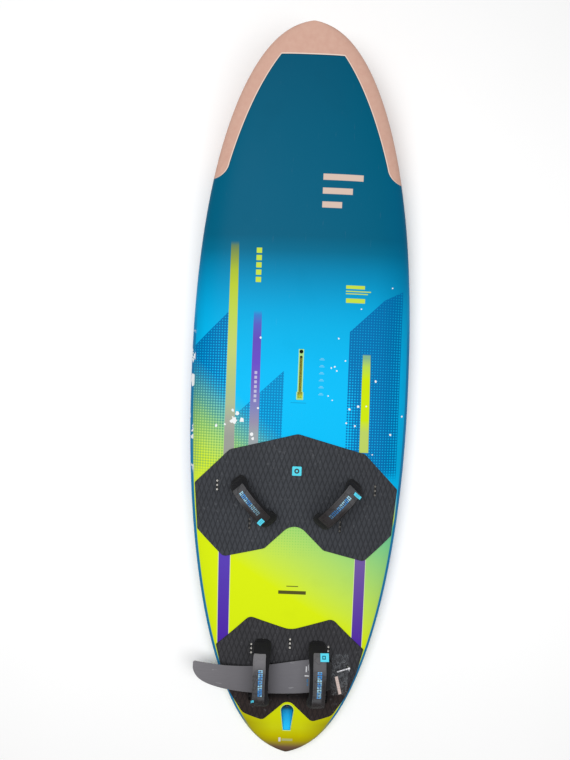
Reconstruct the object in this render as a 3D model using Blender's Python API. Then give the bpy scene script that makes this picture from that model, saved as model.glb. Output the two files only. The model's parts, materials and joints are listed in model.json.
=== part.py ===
"""Freeride windsurf board, about 148 litres, with its deck pads, four footstraps, mast track, vent plug, fin box,
and its fin stowed across the rear straps beside the bag that holds the fin bolt.

Frame: metres, +Z up, +Y towards the nose, +X to starboard. The origin is on the floor, under the middle of the
length.
"""

import math

import bmesh
import bpy
from mathutils import Matrix, Vector

GAP = 0.0003  # clearance between pieces that touch

# Hull: plan outline, rocker, thickness and section
LENGTH = 2.460
WIDTH = 0.753
WIDE_Y = 0.062  # station of the greatest width
NOSE_OUTLINE = (2.333, 0.494)  # superellipse powers ahead of the wide point
TAIL_OUTLINE = (2.111, 0.478)  # and behind it
NOSE_ROCKER = 0.200
FLAT_END_Y = 0.050  # the bottom is flat from the tail to here
ROCKER_POWER = 2.3
THICK_Y = 0.100
THICKNESS = 0.136
NOSE_THICKNESS = 0.024
TAIL_THICKNESS = 0.045
NOSE_FOIL = (2.0, 0.8)
TAIL_FOIL = (2.0, 1.0)
RAIL_APEX = 0.42  # height of the widest point, as a share of the thickness
DECK_POWERS = (3.0, 2.0)  # section superellipse: across, and up
TUCK = 0.045  # width of the round under the rail
SKIN = 0.005
SEAM = 0.0002  # half the gap between the two skins at the rail
TIP = 0.0002  # the end sections stand this far inside the length
STATIONS = 34
DECK_STEPS = 14
TUCK_STEPS = 3

# Deck pads: half outlines as corners (x, y, corner radius), from the centre line round the starboard side
PAD_THICKNESS = 0.005
PAD_GAP = 0.0004
FRONT_PAD = (
    (0.000, -0.1135, 0.030),
    (0.2285, -0.1740, 0.030),
    (0.3480, -0.2955, 0.008),
    (0.3340, -0.4550, 0.008),
    (0.2390, -0.5410, 0.022),
    (0.1000, -0.5055, 0.020),
    (0.000, -0.4080, 0.050),
)
REAR_PAD = (
    (0.000, -0.7860, 0.080),
    (0.1415, -0.7428, 0.025),
    (0.2560, -0.8566, 0.006),
    (0.2355, -0.9450, 0.050),
    (0.2031, -1.0278, 0.060),
    (0.1560, -1.0955, 0.030),
    (0.0850, -1.1141, 0.020),
    (0.000, -1.0335, 0.028),
)
BADGE_SIZE = 0.034
BADGE_Y = -0.238

# Footstrap stations: (forward anchor, aft anchor) on the deck for a starboard strap
STRAP_ANCHORS = {
    "front": ((0.1960, -0.2795), (0.0830, -0.4055)),
    "rear": ((0.0920, -0.8485), (0.0920, -1.0185)),
}
SPARE_ANCHORS = {
    "front_outer": ((0.2635, -0.3020), (0.1570, -0.4190)),
    "rear_outer": ((0.1320, -0.8560), (0.1320, -1.0260)),
}
CENTRE_ANCHORS = ((0.000, -0.8330), (0.000, -1.0030))

# Threaded insert under each anchor: a block with a row of three screw holes
INSERT_SIZE = (0.020, 0.056, 0.026)
INSERT_HOLE_R = 0.0029
INSERT_PITCH = 0.015
INSERT_SUNK = 0.0032
PAD_SLOT = (0.0080, 0.0400)

# Footstrap, in its own frame: u from anchor to anchor, v across, n up. The front straps are set shorter than the
# rear ones, and STRAP_REACH is added to each length along u.
STRAP_REACH = {"front": -0.0075, "rear": 0.0105}
STRAP_LIFT = 0.0012
SCREW_U = 0.0850
SLEEVE_OUTER = (0.1065, 0.080)  # half length at the base, and height
SLEEVE_INNER = (0.0705, 0.064)
SLEEVE_POWERS = (2.4, 2.2)
SLEEVE_WIDTH = 0.062
WEB_WIDTH = 0.050
WEB_THICKNESS = 0.0030
WEB_INSET = 0.0040  # from the sleeve's inner face
TAB_U = 0.0995  # outer end of the webbing's flat tab
COVER_U = 0.0800
COVER_WIDTH = 0.044
COVER_THICKNESS = 0.003
TAB_SIZE = (0.026, 0.030, 0.0018)
ARC_STEPS = 14
SCREW_HEAD = (0.0065, 0.0040)
SCREW_SHANK = (0.0025, 0.0240)
COVER_FREE_END = {"front_left": 1, "front_right": -1, "rear_left": 1, "rear_right": -1}
COVER_SIDE = {"front_left": -0.0015, "front_right": -0.003, "rear_left": -0.005, "rear_right": 0.006}

# Mast track with the vent at its forward end
TRACK_Y = (0.0016, 0.1720)
TRACK_HALF_WIDTH = 0.0105
TRACK_PORT_HALF_WIDTH = 0.0135
TRACK_PORT_LENGTH = 0.026
TRACK_DEPTH = 0.034
TRACK_SLOT_HALF = 0.0045
TRACK_SLOT_END_Y = 0.1500
TRACK_CHANNEL = (0.0078, 0.009, 0.026)  # half width, top depth, floor depth
TRACK_PORT = (0.0078, 0.0060, 0.0260)  # half width, and the port's span ahead of the track's aft end
VENT_Y = 0.1635
VENT_SEAT_R = 0.0066
VENT_BORE_R = 0.0043
VENT_HEAD_R = 0.0058
VENT_SHANK_R = 0.0038
VENT_SEAT_DEPTH = 0.0058
VENT_LENGTH = 0.018
SEAL_R = (0.0040, 0.0056)  # inner and outer radius of the ring
SEAL_HEIGHT = 0.0016

# Fin box in the bottom and the bolt cup in the deck above it
FIN_BOX_Y = -1.075
FIN_BOX_SIZE = (0.034, 0.146, 0.0300)
SOCKET_MOUTH = (0.0190, 0.1260)
SOCKET_FLOOR = (0.0170, 0.0990)
SOCKET_DEPTH = 0.0268
BOLT_HOLE_R = 0.0034
CUP_NOSE_Y = -1.0771
CUP_NOSE_R = 0.0235
CUP_TAIL_Y = -1.1520
CUP_TAIL_HALF = 0.0145
CUP_WALL = 0.0020
CUP_DEEP_Z = 0.0330
CUP_SHALLOW = 0.0060

# Fin, stowed on the rear pad: tip to port, base to starboard
FIN_ROOT_X = 0.1175
FIN_SPAN = 0.446
FIN_REST_Y = -0.945
FIN_THICKNESS = (0.0125, 0.0030)  # at the root and at the tip
# share of the span, forward (trailing) edge and aft (leading) edge
FIN_EDGES = (
    (0.000, -0.8750, -0.9952),
    (0.190, -0.8875, -1.0055),
    (0.407, -0.9048, -1.0096),
    (0.560, -0.9132, -1.0086),
    (0.721, -0.9147, -1.0010),
    (0.830, -0.9112, -0.9902),
    (0.910, -0.9067, -0.9768),
    (0.960, -0.9032, -0.9614),
    (0.990, -0.9022, -0.9425),
    (1.000, -0.9057, -0.9286),
)
BASE_MOUTH = (0.1180, 0.0175)  # chord and thickness where the base meets the blade
BASE_END = (0.0970, 0.0155)
BASE_DEPTH = 0.0260
NUT_R = 0.0048
NUT_LENGTH = 0.0140

# Loose hardware, on the starboard side of the rear pad
BAG_CENTRE = (0.1740, -0.9380)
BAG_SIZE = (0.058, 0.150, 0.0008)
BOLT_HEAD = (0.0050, 0.0050)
BOLT_SHANK = (0.0030, 0.0420)
WASHER_R = (0.0034, 0.0085)
STRIP_SIZE = (0.0105, 0.068, 0.0012)

RIM = (0.012, 0.360, 0.560)
COLOURS = {
    "deck_paint": ((0.020, 0.420, 0.720), 0.30, 0.0),
    "hull_paint": (RIM, 0.30, 0.0),
    "foam": ((0.900, 0.900, 0.880), 0.90, 0.0),
    "pad_eva": ((0.035, 0.035, 0.038), 0.85, 0.0),
    "badge": ((0.100, 0.700, 0.800), 0.50, 0.0),
    "track_plastic": ((0.550, 0.650, 0.020), 0.45, 0.0),
    "cup_plastic": ((0.010, 0.400, 0.780), 0.35, 0.0),
    "box_plastic": ((0.060, 0.060, 0.065), 0.50, 0.0),
    "black_plastic": ((0.020, 0.020, 0.022), 0.45, 0.0),
    "seal_rubber": ((0.015, 0.015, 0.015), 0.70, 0.0),
    "sleeve_neoprene": ((0.018, 0.018, 0.020), 0.90, 0.0),
    "webbing": ((0.025, 0.025, 0.027), 0.85, 0.0),
    "cover_fabric": ((0.070, 0.062, 0.060), 0.80, 0.0),
    "tab_fabric": ((0.080, 0.550, 0.720), 0.70, 0.0),
    "steel": ((0.620, 0.620, 0.640), 0.25, 1.0),
    "brass": ((0.700, 0.520, 0.220), 0.30, 1.0),
    "fin_composite": ((0.110, 0.110, 0.120), 0.40, 0.0),
    "bag_film": ((0.750, 0.780, 0.800), 0.15, 0.0),
    "paper": ((0.760, 0.640, 0.600), 0.85, 0.0),
}


# --- the board's surface ---------------------------------------------------------------------------------------

def side(y, centre):
    """How far y lies from centre towards its end of the board, from 0 to 1."""
    reach = LENGTH / 2 - centre if y > centre else LENGTH / 2 + centre
    return min(abs(y - centre) / reach, 1.0)


def half_width(y):
    a, b = NOSE_OUTLINE if y > WIDE_Y else TAIL_OUTLINE
    return WIDTH / 2 * (1 - side(y, WIDE_Y) ** a) ** b


def bottom_z(y):
    rise = max(0.0, (y - FLAT_END_Y) / (LENGTH / 2 - FLAT_END_Y))
    return NOSE_ROCKER * rise**ROCKER_POWER


def thickness(y):
    a, b = NOSE_FOIL if y > THICK_Y else TAIL_FOIL
    least = NOSE_THICKNESS if y > THICK_Y else TAIL_THICKNESS
    return least + (THICKNESS - least) * (1 - side(y, THICK_Y) ** a) ** b


def apex_z(y):
    return bottom_z(y) + RAIL_APEX * thickness(y)


def deck_z(x, y):
    across = min(abs(x) / half_width(y), 1.0)
    crown = (1 - RAIL_APEX) * thickness(y)
    return apex_z(y) + crown * (1 - across ** DECK_POWERS[0]) ** (1 / DECK_POWERS[1])


def deck_point(x, y, above=0.0):
    return Vector((x, y, deck_z(x, y) + above))


def deck_slope(y):
    """Rise of the deck's centre line per metre towards the nose."""
    step = 0.01
    return (deck_z(0, y + step) - deck_z(0, y - step)) / (2 * step)


def inset_point(x, y, z, inset):
    return (x * (1 - inset / (WIDTH / 2)), y * (1 - inset / (LENGTH / 2)), z)


def station_ys():
    """Stations from tail to nose, closer together towards the ends, where the outline turns."""
    reach = LENGTH / 2 - TIP
    return [-reach * math.cos(math.pi * i / STATIONS) for i in range(STATIONS + 1)]


def deck_arc(y, inset=0.0, seam=0.0, above=0.0):
    """One section of the deck, from the port rail over the crown to the starboard rail."""
    width, low = half_width(y), apex_z(y) + seam
    crown = bottom_z(y) + thickness(y) - inset - low
    points = []
    for k in range(DECK_STEPS + 1):
        turn = math.pi * k / DECK_STEPS
        c, s = math.cos(turn), max(math.sin(turn), 0.0)
        x = -math.copysign(abs(c) ** (2 / DECK_POWERS[0]), c) * width
        z = low + crown * s ** (2 / DECK_POWERS[1]) + above
        points.append(inset_point(x, y, z, inset))
    return points


def bottom_arc(y, inset=0.0, seam=0.0):
    """One section of the bottom, from the port rail round the tuck and across to the starboard rail."""
    width, high = half_width(y), apex_z(y) - seam
    tuck = min(TUCK, width / 2)
    drop = high - bottom_z(y) - inset
    right = []
    for k in range(TUCK_STEPS + 1):
        turn = math.pi / 2 * k / TUCK_STEPS
        right.append((width - tuck + tuck * math.cos(turn), high - drop * math.sin(turn)))
    left = [(-x, z) for x, z in right]
    return [inset_point(x, y, z, inset) for x, z in left + [(0.0, right[-1][1])] + right[::-1]]


# --- mesh helpers ----------------------------------------------------------------------------------------------

def grid_faces(bm, rows):
    """Triangles between neighbouring rows, split the same way everywhere so that offset surfaces never cross."""
    for low, high in zip(rows, rows[1:]):
        for k in range(len(low) - 1):
            bm.faces.new((low[k], low[k + 1], high[k + 1]))
            bm.faces.new((low[k], high[k + 1], high[k]))


def rows_of(bm, arcs):
    return [[bm.verts.new(p) for p in arc] for arc in arcs]


def band_faces(bm, outer, inner):
    """A strip between two closed loops of the same length."""
    for k in range(len(outer)):
        bm.faces.new((outer[k - 1], outer[k], inner[k], inner[k - 1]))


def edge_loop(rows):
    """The rim of a skin: along port, across the nose, back along starboard and across the tail."""
    return [row[0] for row in rows] + [row[-1] for row in reversed(rows)]


def skin_mesh(arc, seam):
    """A closed skin, SKIN thick, from one of the section functions."""
    bm = bmesh.new()
    shells = [rows_of(bm, [arc(y, inset, seam) for y in station_ys()]) for inset in (0.0, SKIN)]
    for rows in shells:
        grid_faces(bm, rows)
        bm.faces.new(rows[0])
        bm.faces.new(rows[-1])
    band_faces(bm, edge_loop(shells[0]), edge_loop(shells[1]))
    return bm


def core_mesh():
    """The foam inside the skins, closed where its two arcs share their end points."""
    bm = bmesh.new()
    for arc in (deck_arc, bottom_arc):
        rows = rows_of(bm, [arc(y, SKIN + GAP) for y in station_ys()])
        grid_faces(bm, rows)
        bm.faces.new(rows[0])
        bm.faces.new(rows[-1])
    bmesh.ops.remove_doubles(bm, verts=bm.verts, dist=1e-6)
    return bm


def slab_mesh(low_y, high_y):
    """A slab PAD_THICKNESS thick that lies on the deck between two stations, as wide as the board."""
    ys = station_ys()
    inside = [y for i, y in enumerate(ys[1:-1], 1) if ys[i + 1] > low_y and ys[i - 1] < high_y]
    bm = bmesh.new()
    layers = [rows_of(bm, [deck_arc(y, above=h) for y in inside]) for h in (PAD_GAP, PAD_GAP + PAD_THICKNESS)]
    for rows in layers:
        grid_faces(bm, rows)
    loops = [
        [*rows[0], *[r[-1] for r in rows[1:-1]], *rows[-1][::-1], *[r[0] for r in rows[-2:0:-1]]] for rows in layers
    ]
    band_faces(bm, *loops)
    return bm


def prism(outline, low, high):
    """The outline, a list of (x, y), extruded from low to high."""
    bm = bmesh.new()
    rings = [[bm.verts.new((x, y, z)) for x, y in outline] for z in (low, high)]
    for ring in rings:
        bm.faces.new(ring)
    band_faces(bm, *rings)
    return bm


def taper(low_outline, high_outline, low, high):
    """A prism whose two ends have their own outlines, with the same number of points."""
    bm = bmesh.new()
    rings = []
    for outline, z in ((low_outline, low), (high_outline, high)):
        rings.append([bm.verts.new((x, y, z)) for x, y in outline])
        bm.faces.new(rings[-1])
    band_faces(bm, *rings)
    return bm


def circle(radius, steps=16, centre=(0.0, 0.0)):
    turns = [2 * math.pi * k / steps for k in range(steps)]
    return [(centre[0] + radius * math.cos(t), centre[1] + radius * math.sin(t)) for t in turns]


def rectangle(width, length, centre=(0.0, 0.0)):
    w, h = width / 2, length / 2
    return [(centre[0] + x, centre[1] + y) for x, y in ((-w, -h), (w, -h), (w, h), (-w, h))]


def rounded(corners, steps=4):
    """A closed outline from corners (x, y, radius), each turned into an arc."""
    outline = []
    for i, (x, y, radius) in enumerate(corners):
        here = Vector((x, y))
        before = (Vector(corners[i - 1][:2]) - here).normalized()
        after = (Vector(corners[(i + 1) % len(corners)][:2]) - here).normalized()
        half = before.angle(after) / 2
        centre = here + (before + after).normalized() * (radius / math.sin(half))
        start = here + before * (radius / math.tan(half)) - centre
        turn = (math.pi - 2 * half) * (1 if before.x * after.y - before.y * after.x < 0 else -1)
        for k in range(steps + 1):
            spoke = Matrix.Rotation(turn * k / steps, 2) @ start
            outline.append(tuple(centre + spoke))
    return outline


def mirrored(half):
    """A whole outline's corners from the starboard half, whose ends lie on the centre line."""
    return list(half) + [(-x, y, r) for x, y, r in reversed(half[1:-1])]


def box_corners(width, length, radius):
    return [(x, y, radius) for x, y in rectangle(width, length)]


def join(*meshes):
    """Several meshes in one, used for cutters."""
    whole = bmesh.new()
    for bm in meshes:
        piece = bpy.data.meshes.new("piece")
        bm.to_mesh(piece)
        bm.free()
        whole.from_mesh(piece)
        bpy.data.meshes.remove(piece)
    return whole


def moved(bm, matrix):
    bm.transform(matrix)
    return bm


def material(slot):
    found = bpy.data.materials.get(slot)
    if found:
        return found
    colour, roughness, metallic = COLOURS[slot]
    made = bpy.data.materials.new(slot)
    made.use_nodes = True
    shader = made.node_tree.nodes["Principled BSDF"]
    shader.inputs["Base Color"].default_value = (*colour, 1.0)
    shader.inputs["Roughness"].default_value = roughness
    shader.inputs["Metallic"].default_value = metallic
    made.diffuse_color = (*colour, 1.0)
    return made


def mesh_of(name, bm, slot):
    bmesh.ops.recalc_face_normals(bm, faces=bm.faces)
    mesh = bpy.data.meshes.new(name)
    bm.to_mesh(mesh)
    bm.free()
    mesh.materials.append(material(slot))
    mesh.shade_smooth()
    mesh.set_sharp_from_angle(angle=math.radians(35))
    return mesh


def place(name, mesh, matrix=None, parent=None):
    obj = bpy.data.objects.new(name, mesh)
    bpy.context.scene.collection.objects.link(obj)
    obj.parent = parent
    if matrix is not None:
        obj.matrix_local = matrix
    return obj


def piece(name, bm, slot, matrix=None, parent=None):
    return place(name, mesh_of(name, bm, slot), matrix, parent)


def empty(name, matrix):
    obj = bpy.data.objects.new(name, None)
    bpy.context.scene.collection.objects.link(obj)
    obj.matrix_world = matrix
    return obj


def cutter(name, bm, matrix=None):
    obj = piece("cut_" + name, bm, "foam", matrix)
    obj.hide_render = True
    obj.display_type = "WIRE"
    return obj


def boolean(obj, tool, operation="DIFFERENCE"):
    modifier = obj.modifiers.new(tool.name, "BOOLEAN")
    modifier.operation = operation
    modifier.solver = "EXACT"
    modifier.object = tool


def baked(obj):
    """The object's mesh with its modifiers applied, so that several objects can share it. The object goes."""
    bpy.context.view_layer.update()
    evaluated = obj.evaluated_get(bpy.context.evaluated_depsgraph_get())
    mesh = bpy.data.meshes.new_from_object(evaluated)
    mesh.name = obj.name
    bpy.data.objects.remove(obj)
    return mesh


# --- frames on the deck ----------------------------------------------------------------------------------------

def strap_frame(forward, aft, above=0.0):
    """X from the forward anchor to the aft one, Z square to the deck, origin midway between the anchors."""
    a, b = deck_point(*forward), deck_point(*aft)
    x, y = (a.x + b.x) / 2, (a.y + b.y) / 2
    step = 0.01
    fall_x = deck_z(x - step, y) - deck_z(x + step, y)
    fall_y = deck_z(x, y - step) - deck_z(x, y + step)
    normal = Vector((fall_x, fall_y, 2 * step))
    along = (b - a).normalized()
    up = (normal - normal.dot(along) * along).normalized()
    axes = Matrix((along, up.cross(along), up)).transposed()
    return Matrix.Translation((a + b) / 2 + up * above) @ axes.to_4x4()


def to_side(anchors, sign):
    return [(sign * x, y) for x, y in anchors]


def strap_sites():
    """{name: (forward anchor, aft anchor)} for every pair of inserts, used or spare."""
    sites = {}
    for name, anchors in {**STRAP_ANCHORS, **SPARE_ANCHORS}.items():
        sites[name + "_left"] = to_side(anchors, -1)
        sites[name + "_right"] = to_side(anchors, 1)
    sites["rear_centre"] = list(CENTRE_ANCHORS)
    return sites


# --- inserts ---------------------------------------------------------------------------------------------------

def insert_mesh():
    width, length, depth = INSERT_SIZE
    outline = rounded(box_corners(width, length, 0.005), 2)
    block = piece("footstrap_insert", prism(outline, -depth, 0), "black_plastic")
    holes = [
        prism(circle(INSERT_HOLE_R, 8, (0, k * INSERT_PITCH)), -depth + 0.003, 0.01) for k in (-1, 0, 1)
    ]
    tool = cutter("insert_holes", join(*holes))
    boolean(block, tool)
    mesh = baked(block)
    bpy.data.objects.remove(tool)
    return mesh


def insert_frame(frame, u):
    """The insert's holes run fore and aft, and it stands square to the strap that it holds."""
    up = frame.col[2].to_3d()
    across = Vector((0, 1, 0)).cross(up).normalized()
    axes = Matrix((across, up.cross(across), up)).transposed()
    return Matrix.Translation(frame @ Vector((u, 0, -INSERT_SUNK))) @ axes.to_4x4()


def insert_places():
    places = {}
    for name, anchors in strap_sites().items():
        frame = strap_frame(*anchors)
        end = name.rsplit("_", 1)[0]
        screw_u = SCREW_U + STRAP_REACH.get(end, 0.0)
        places[f"insert_{name}_fore"] = insert_frame(frame, -screw_u)
        places[f"insert_{name}_aft"] = insert_frame(frame, screw_u)
    return places


def insert_pockets(places):
    width, length, depth = INSERT_SIZE
    outline = rounded(box_corners(width + 2 * GAP, length + 2 * GAP, 0.005 + GAP), 2)
    return [moved(prism(outline, -depth - GAP, 0.02), m) for m in places.values()]


def pad_slots(places):
    outline = rounded(box_corners(*PAD_SLOT, 0.0038), 2)
    return [moved(prism(outline, -0.002, 0.03), m) for m in places.values()]


# --- mast track, fin box and bolt cup --------------------------------------------------------------------------

def track_top():
    return deck_z(0, sum(TRACK_Y) / 2)


def track_outline(grow):
    """Plan of the track: narrow, with a wider port at its aft end."""
    aft, fore = TRACK_Y
    shoulder = aft + TRACK_PORT_LENGTH
    narrow, wide = TRACK_HALF_WIDTH + grow, TRACK_PORT_HALF_WIDTH + grow
    half = [
        (wide, aft - grow), (wide, shoulder + grow), (narrow, shoulder + grow), (narrow, fore + grow),
    ]
    return half + [(-x, y) for x, y in reversed(half)]


def make_track():
    top = track_top()
    track = piece("mast_track", prism(track_outline(0), top - TRACK_DEPTH, top), "track_plastic")
    aft, _ = TRACK_Y
    half, near, far = TRACK_PORT
    middle, length = (aft + near + TRACK_SLOT_END_Y) / 2, TRACK_SLOT_END_Y - aft - near
    channel_half, roof, floor = TRACK_CHANNEL
    slot = rounded(box_corners(2 * TRACK_SLOT_HALF, length, TRACK_SLOT_HALF - 0.0002), 3)
    cuts = [
        moved(prism(slot, top - roof - 0.001, top + 0.01), Matrix.Translation((0, middle, 0))),
        prism(rectangle(2 * channel_half, length, (0, middle)), top - floor, top - roof),
        prism(rectangle(2 * half, far - near, (0, aft + (near + far) / 2)), top - roof - 0.001, top + 0.01),
    ]
    for name, bm in zip(("slot", "channel", "port"), cuts):
        boolean(track, cutter("track_" + name, bm))
    seat = prism(circle(VENT_SEAT_R, 20, (0, VENT_Y)), top - VENT_SEAT_DEPTH, top + 0.01)
    bore = prism(circle(VENT_BORE_R, 16, (0, VENT_Y)), top - TRACK_DEPTH - 0.01, top)
    boolean(track, cutter("vent_seat", seat))
    boolean(track, cutter("vent_bore", bore))


def make_vent():
    """The plug turns on its own axis and its seal rises with it."""
    top = track_top()
    head_low = -VENT_SEAT_DEPTH + SEAL_HEIGHT + 2 * GAP
    profile = [
        (0.0, -0.0006), (VENT_HEAD_R - 0.0008, -0.0006), (VENT_HEAD_R, -0.0014), (VENT_HEAD_R, head_low),
        (VENT_SHANK_R, head_low), (VENT_SHANK_R, -VENT_LENGTH), (0.0, -VENT_LENGTH),
    ]
    at = Matrix.Translation((0, VENT_Y, top))
    plug = piece("vent_plug", turned(profile, 16), "black_plastic", at)
    slot = cutter("vent_slot", prism(rectangle(0.0016, 0.0080), -0.0024, 0.01), at)
    boolean(plug, slot)
    inner, outer = SEAL_R
    low = -VENT_SEAT_DEPTH + GAP
    ring = [(outer, low + SEAL_HEIGHT), (outer, low), (inner, low), (inner, low + SEAL_HEIGHT)]
    piece("vent_seal", turned(ring, 16, closed=True), "seal_rubber", Matrix.Translation((0, VENT_Y, top)))


def turned(profile, steps, closed=False):
    """A profile of (radius, height) spun about Z. A closed one is a ring; otherwise its ends lie on the axis."""
    bm = bmesh.new()
    rings = []
    for radius, height in profile:
        if radius == 0.0:
            rings.append([bm.verts.new((0, 0, height))] * steps)
        else:
            rings.append([bm.verts.new((x, y, height)) for x, y in circle(radius, steps)])
    pairs = list(zip(rings, rings[1:]))
    if closed:
        pairs.append((rings[-1], rings[0]))
    for one, two in pairs:
        for k in range(steps):
            corners = dict.fromkeys((one[k - 1], one[k], two[k], two[k - 1]))
            bm.faces.new(corners)
    return bm


def make_fin_box():
    width, length, height = FIN_BOX_SIZE
    at = Matrix.Translation((0, FIN_BOX_Y, 0))
    box = piece("fin_box", prism(rounded(box_corners(width, length, 0.010), 3), 0, height), "box_plastic", at)
    mouth = [rectangle(*SOCKET_MOUTH), rectangle(*SOCKET_FLOOR)]
    boolean(box, cutter("socket", taper(*mouth, -0.0001, SOCKET_DEPTH), at))
    boolean(box, cutter("bolt_hole", prism(circle(BOLT_HOLE_R, 12), 0.01, 0.05), at))


def fin_box_pocket():
    width, length, height = FIN_BOX_SIZE
    outline = rounded(box_corners(width + 2 * GAP, length + 2 * GAP, 0.010), 3)
    return moved(prism(outline, -0.01, height + GAP), Matrix.Translation((0, FIN_BOX_Y, 0)))


def cup_outline(grow):
    """Plan of the bolt cup: round at its deep forward end, narrowing aft."""
    steps = 10
    arc = [math.pi * k / steps for k in range(steps + 1)]
    radius, tail = CUP_NOSE_R + grow, CUP_TAIL_HALF + grow
    nose = [(radius * math.cos(t), CUP_NOSE_Y + radius * math.sin(t)) for t in arc]
    return nose + [(-tail, CUP_TAIL_Y - grow), (tail, CUP_TAIL_Y - grow)]


def cup_mesh(grow, deeper, top_above):
    """A wedge under the cup's outline: its top follows the deck, and its floor falls towards the nose."""
    bm = prism(cup_outline(grow), 0, 1)
    deck_aft = deck_z(0, CUP_TAIL_Y)
    slope = (CUP_DEEP_Z - (deck_aft - CUP_SHALLOW)) / (CUP_NOSE_Y - CUP_TAIL_Y)
    for v in bm.verts:
        if v.co.z > 0.5:
            v.co.z = deck_z(0, CUP_NOSE_Y) + deck_slope(FIN_BOX_Y) * (v.co.y - CUP_NOSE_Y) + top_above
        else:
            fall = max(0.0, CUP_NOSE_Y - v.co.y)
            v.co.z = CUP_DEEP_Z - slope * fall - deeper
    return bm


def make_cup():
    cup = piece("fin_bolt_cup", cup_mesh(0.0, CUP_WALL / 2, 0.0), "cup_plastic")
    boolean(cup, cutter("cup_inside", cup_mesh(-CUP_WALL, -CUP_WALL / 2, 0.01)))
    hole = prism(circle(BOLT_HOLE_R, 12, (0, FIN_BOX_Y)), 0.0, 0.05)
    boolean(cup, cutter("cup_bolt_hole", hole))


# --- shells, core and pads -------------------------------------------------------------------------------------

def make_board(places):
    deck = piece("deck_skin", skin_mesh(deck_arc, SEAM), "deck_paint")
    hull = piece("bottom_skin", skin_mesh(bottom_arc, SEAM), "hull_paint")
    core = piece("foam_core", core_mesh(), "foam")
    pockets = cutter("insert_pockets", join(*insert_pockets(places)))
    top = track_top()
    track = cutter("track_pocket", prism(track_outline(GAP), top - TRACK_DEPTH - GAP, top + 0.02))
    cup = cutter("cup_pocket", cup_mesh(GAP, CUP_WALL / 2 + GAP, 0.02))
    box = cutter("box_pocket", fin_box_pocket())
    bolt_way = cutter("bolt_way", prism(circle(BOLT_HOLE_R, 12, (0, FIN_BOX_Y)), 0.02, 0.04))
    for tool in (pockets, track, cup):
        boolean(deck, tool)
        boolean(core, tool)
    boolean(hull, box)
    boolean(core, box)
    boolean(core, bolt_way)


def make_pad(name, half, slots):
    outline = rounded(mirrored(half))
    low, high = min(y for _, y in outline), max(y for _, y in outline)
    pad = piece(name, slab_mesh(low, high), "pad_eva")
    boolean(pad, cutter(name + "_outline", prism(outline, 0, 0.3)), "INTERSECT")
    boolean(pad, slots)


def make_badge():
    at = deck_point(0, BADGE_Y, PAD_GAP + PAD_THICKNESS + 0.0005)
    turn = Matrix.Rotation(math.atan(deck_slope(BADGE_Y)), 4, "X")
    outline = rounded(box_corners(BADGE_SIZE, BADGE_SIZE, 0.002), 2)
    piece("pad_badge", prism(outline, 0, 0.001), "badge", Matrix.Translation(at) @ turn)


# --- footstraps ------------------------------------------------------------------------------------------------

def arch(half_length, height, start, end, steps):
    """Points (u, n) along a superellipse arch, between two angles of its own parameter."""
    points = []
    for k in range(steps + 1):
        turn = start + (end - start) * k / steps
        c, s = math.cos(turn), max(math.sin(turn), 0.0)
        u = math.copysign(abs(c) ** (2 / SLEEVE_POWERS[0]), c) * half_length
        points.append((u, height * s ** (2 / SLEEVE_POWERS[1])))
    return points


def arch_grown(base, grow):
    return (base[0] + grow, base[1] + grow)


def across(outline, width):
    """A (u, n) outline made solid, its width along v."""
    return moved(prism(outline, -width / 2, width / 2), Matrix.Rotation(math.pi / 2, 4, "X"))


def longer(size, reach):
    return (size[0] + reach, size[1])


def webbing_outline(fat, reach):
    """The band inside the sleeve, with a flat tab for the screw at each foot. fat makes it thicker all round."""
    inside = longer(SLEEVE_INNER, reach)
    low, high = arch_grown(inside, WEB_INSET - fat), arch_grown(inside, WEB_INSET + WEB_THICKNESS + fat)
    foot = -fat if fat else 0.0
    inner = arch(*low, 0.12, math.pi - 0.12, ARC_STEPS)
    outer = arch(*high, math.pi - 0.12, 0.12, ARC_STEPS)
    top = WEB_THICKNESS + fat
    right_end, left_end = TAB_U + reach + fat, -TAB_U - reach - fat
    return [
        (low[0], foot), *inner, (-low[0], foot), (left_end, foot), (left_end, top),
        (-high[0], top), *outer, (high[0], top), (right_end, top), (right_end, foot),
    ]


def sleeve_outline(reach):
    outer = arch(*longer(SLEEVE_OUTER, reach), 0, math.pi, ARC_STEPS)
    inner = arch(*longer(SLEEVE_INNER, reach), math.pi, 0, ARC_STEPS)
    return outer + inner


def cover_start(reach):
    """The angle at which the cover begins on its superellipse, reached at u = COVER_U + reach."""
    return math.acos(((COVER_U + reach) / (SLEEVE_OUTER[0] + reach)) ** (SLEEVE_POWERS[0] / 2))


def cover_outline(reach):
    """The cover lies on the sleeve between the two angles where it begins and ends."""
    start, under = cover_start(reach), longer(SLEEVE_OUTER, reach)
    low = arch(*arch_grown(under, GAP), start, math.pi - start, ARC_STEPS)
    high = arch(*arch_grown(under, GAP + COVER_THICKNESS), math.pi - start, start, ARC_STEPS)
    return low + high


def screw_mesh():
    head_r, head_h = SCREW_HEAD
    shank_r, length = SCREW_SHANK
    flange = 0.0014
    profile = [
        (0.0, head_h), (head_r * 0.55, head_h * 0.85), (head_r * 0.62, flange), (head_r, flange * 0.8),
        (head_r, 0.0), (shank_r, 0.0), (shank_r, -length * 0.85), (0.0, -length),
    ]
    return mesh_of("strap_screw", turned(profile, 12), "steel")


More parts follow.
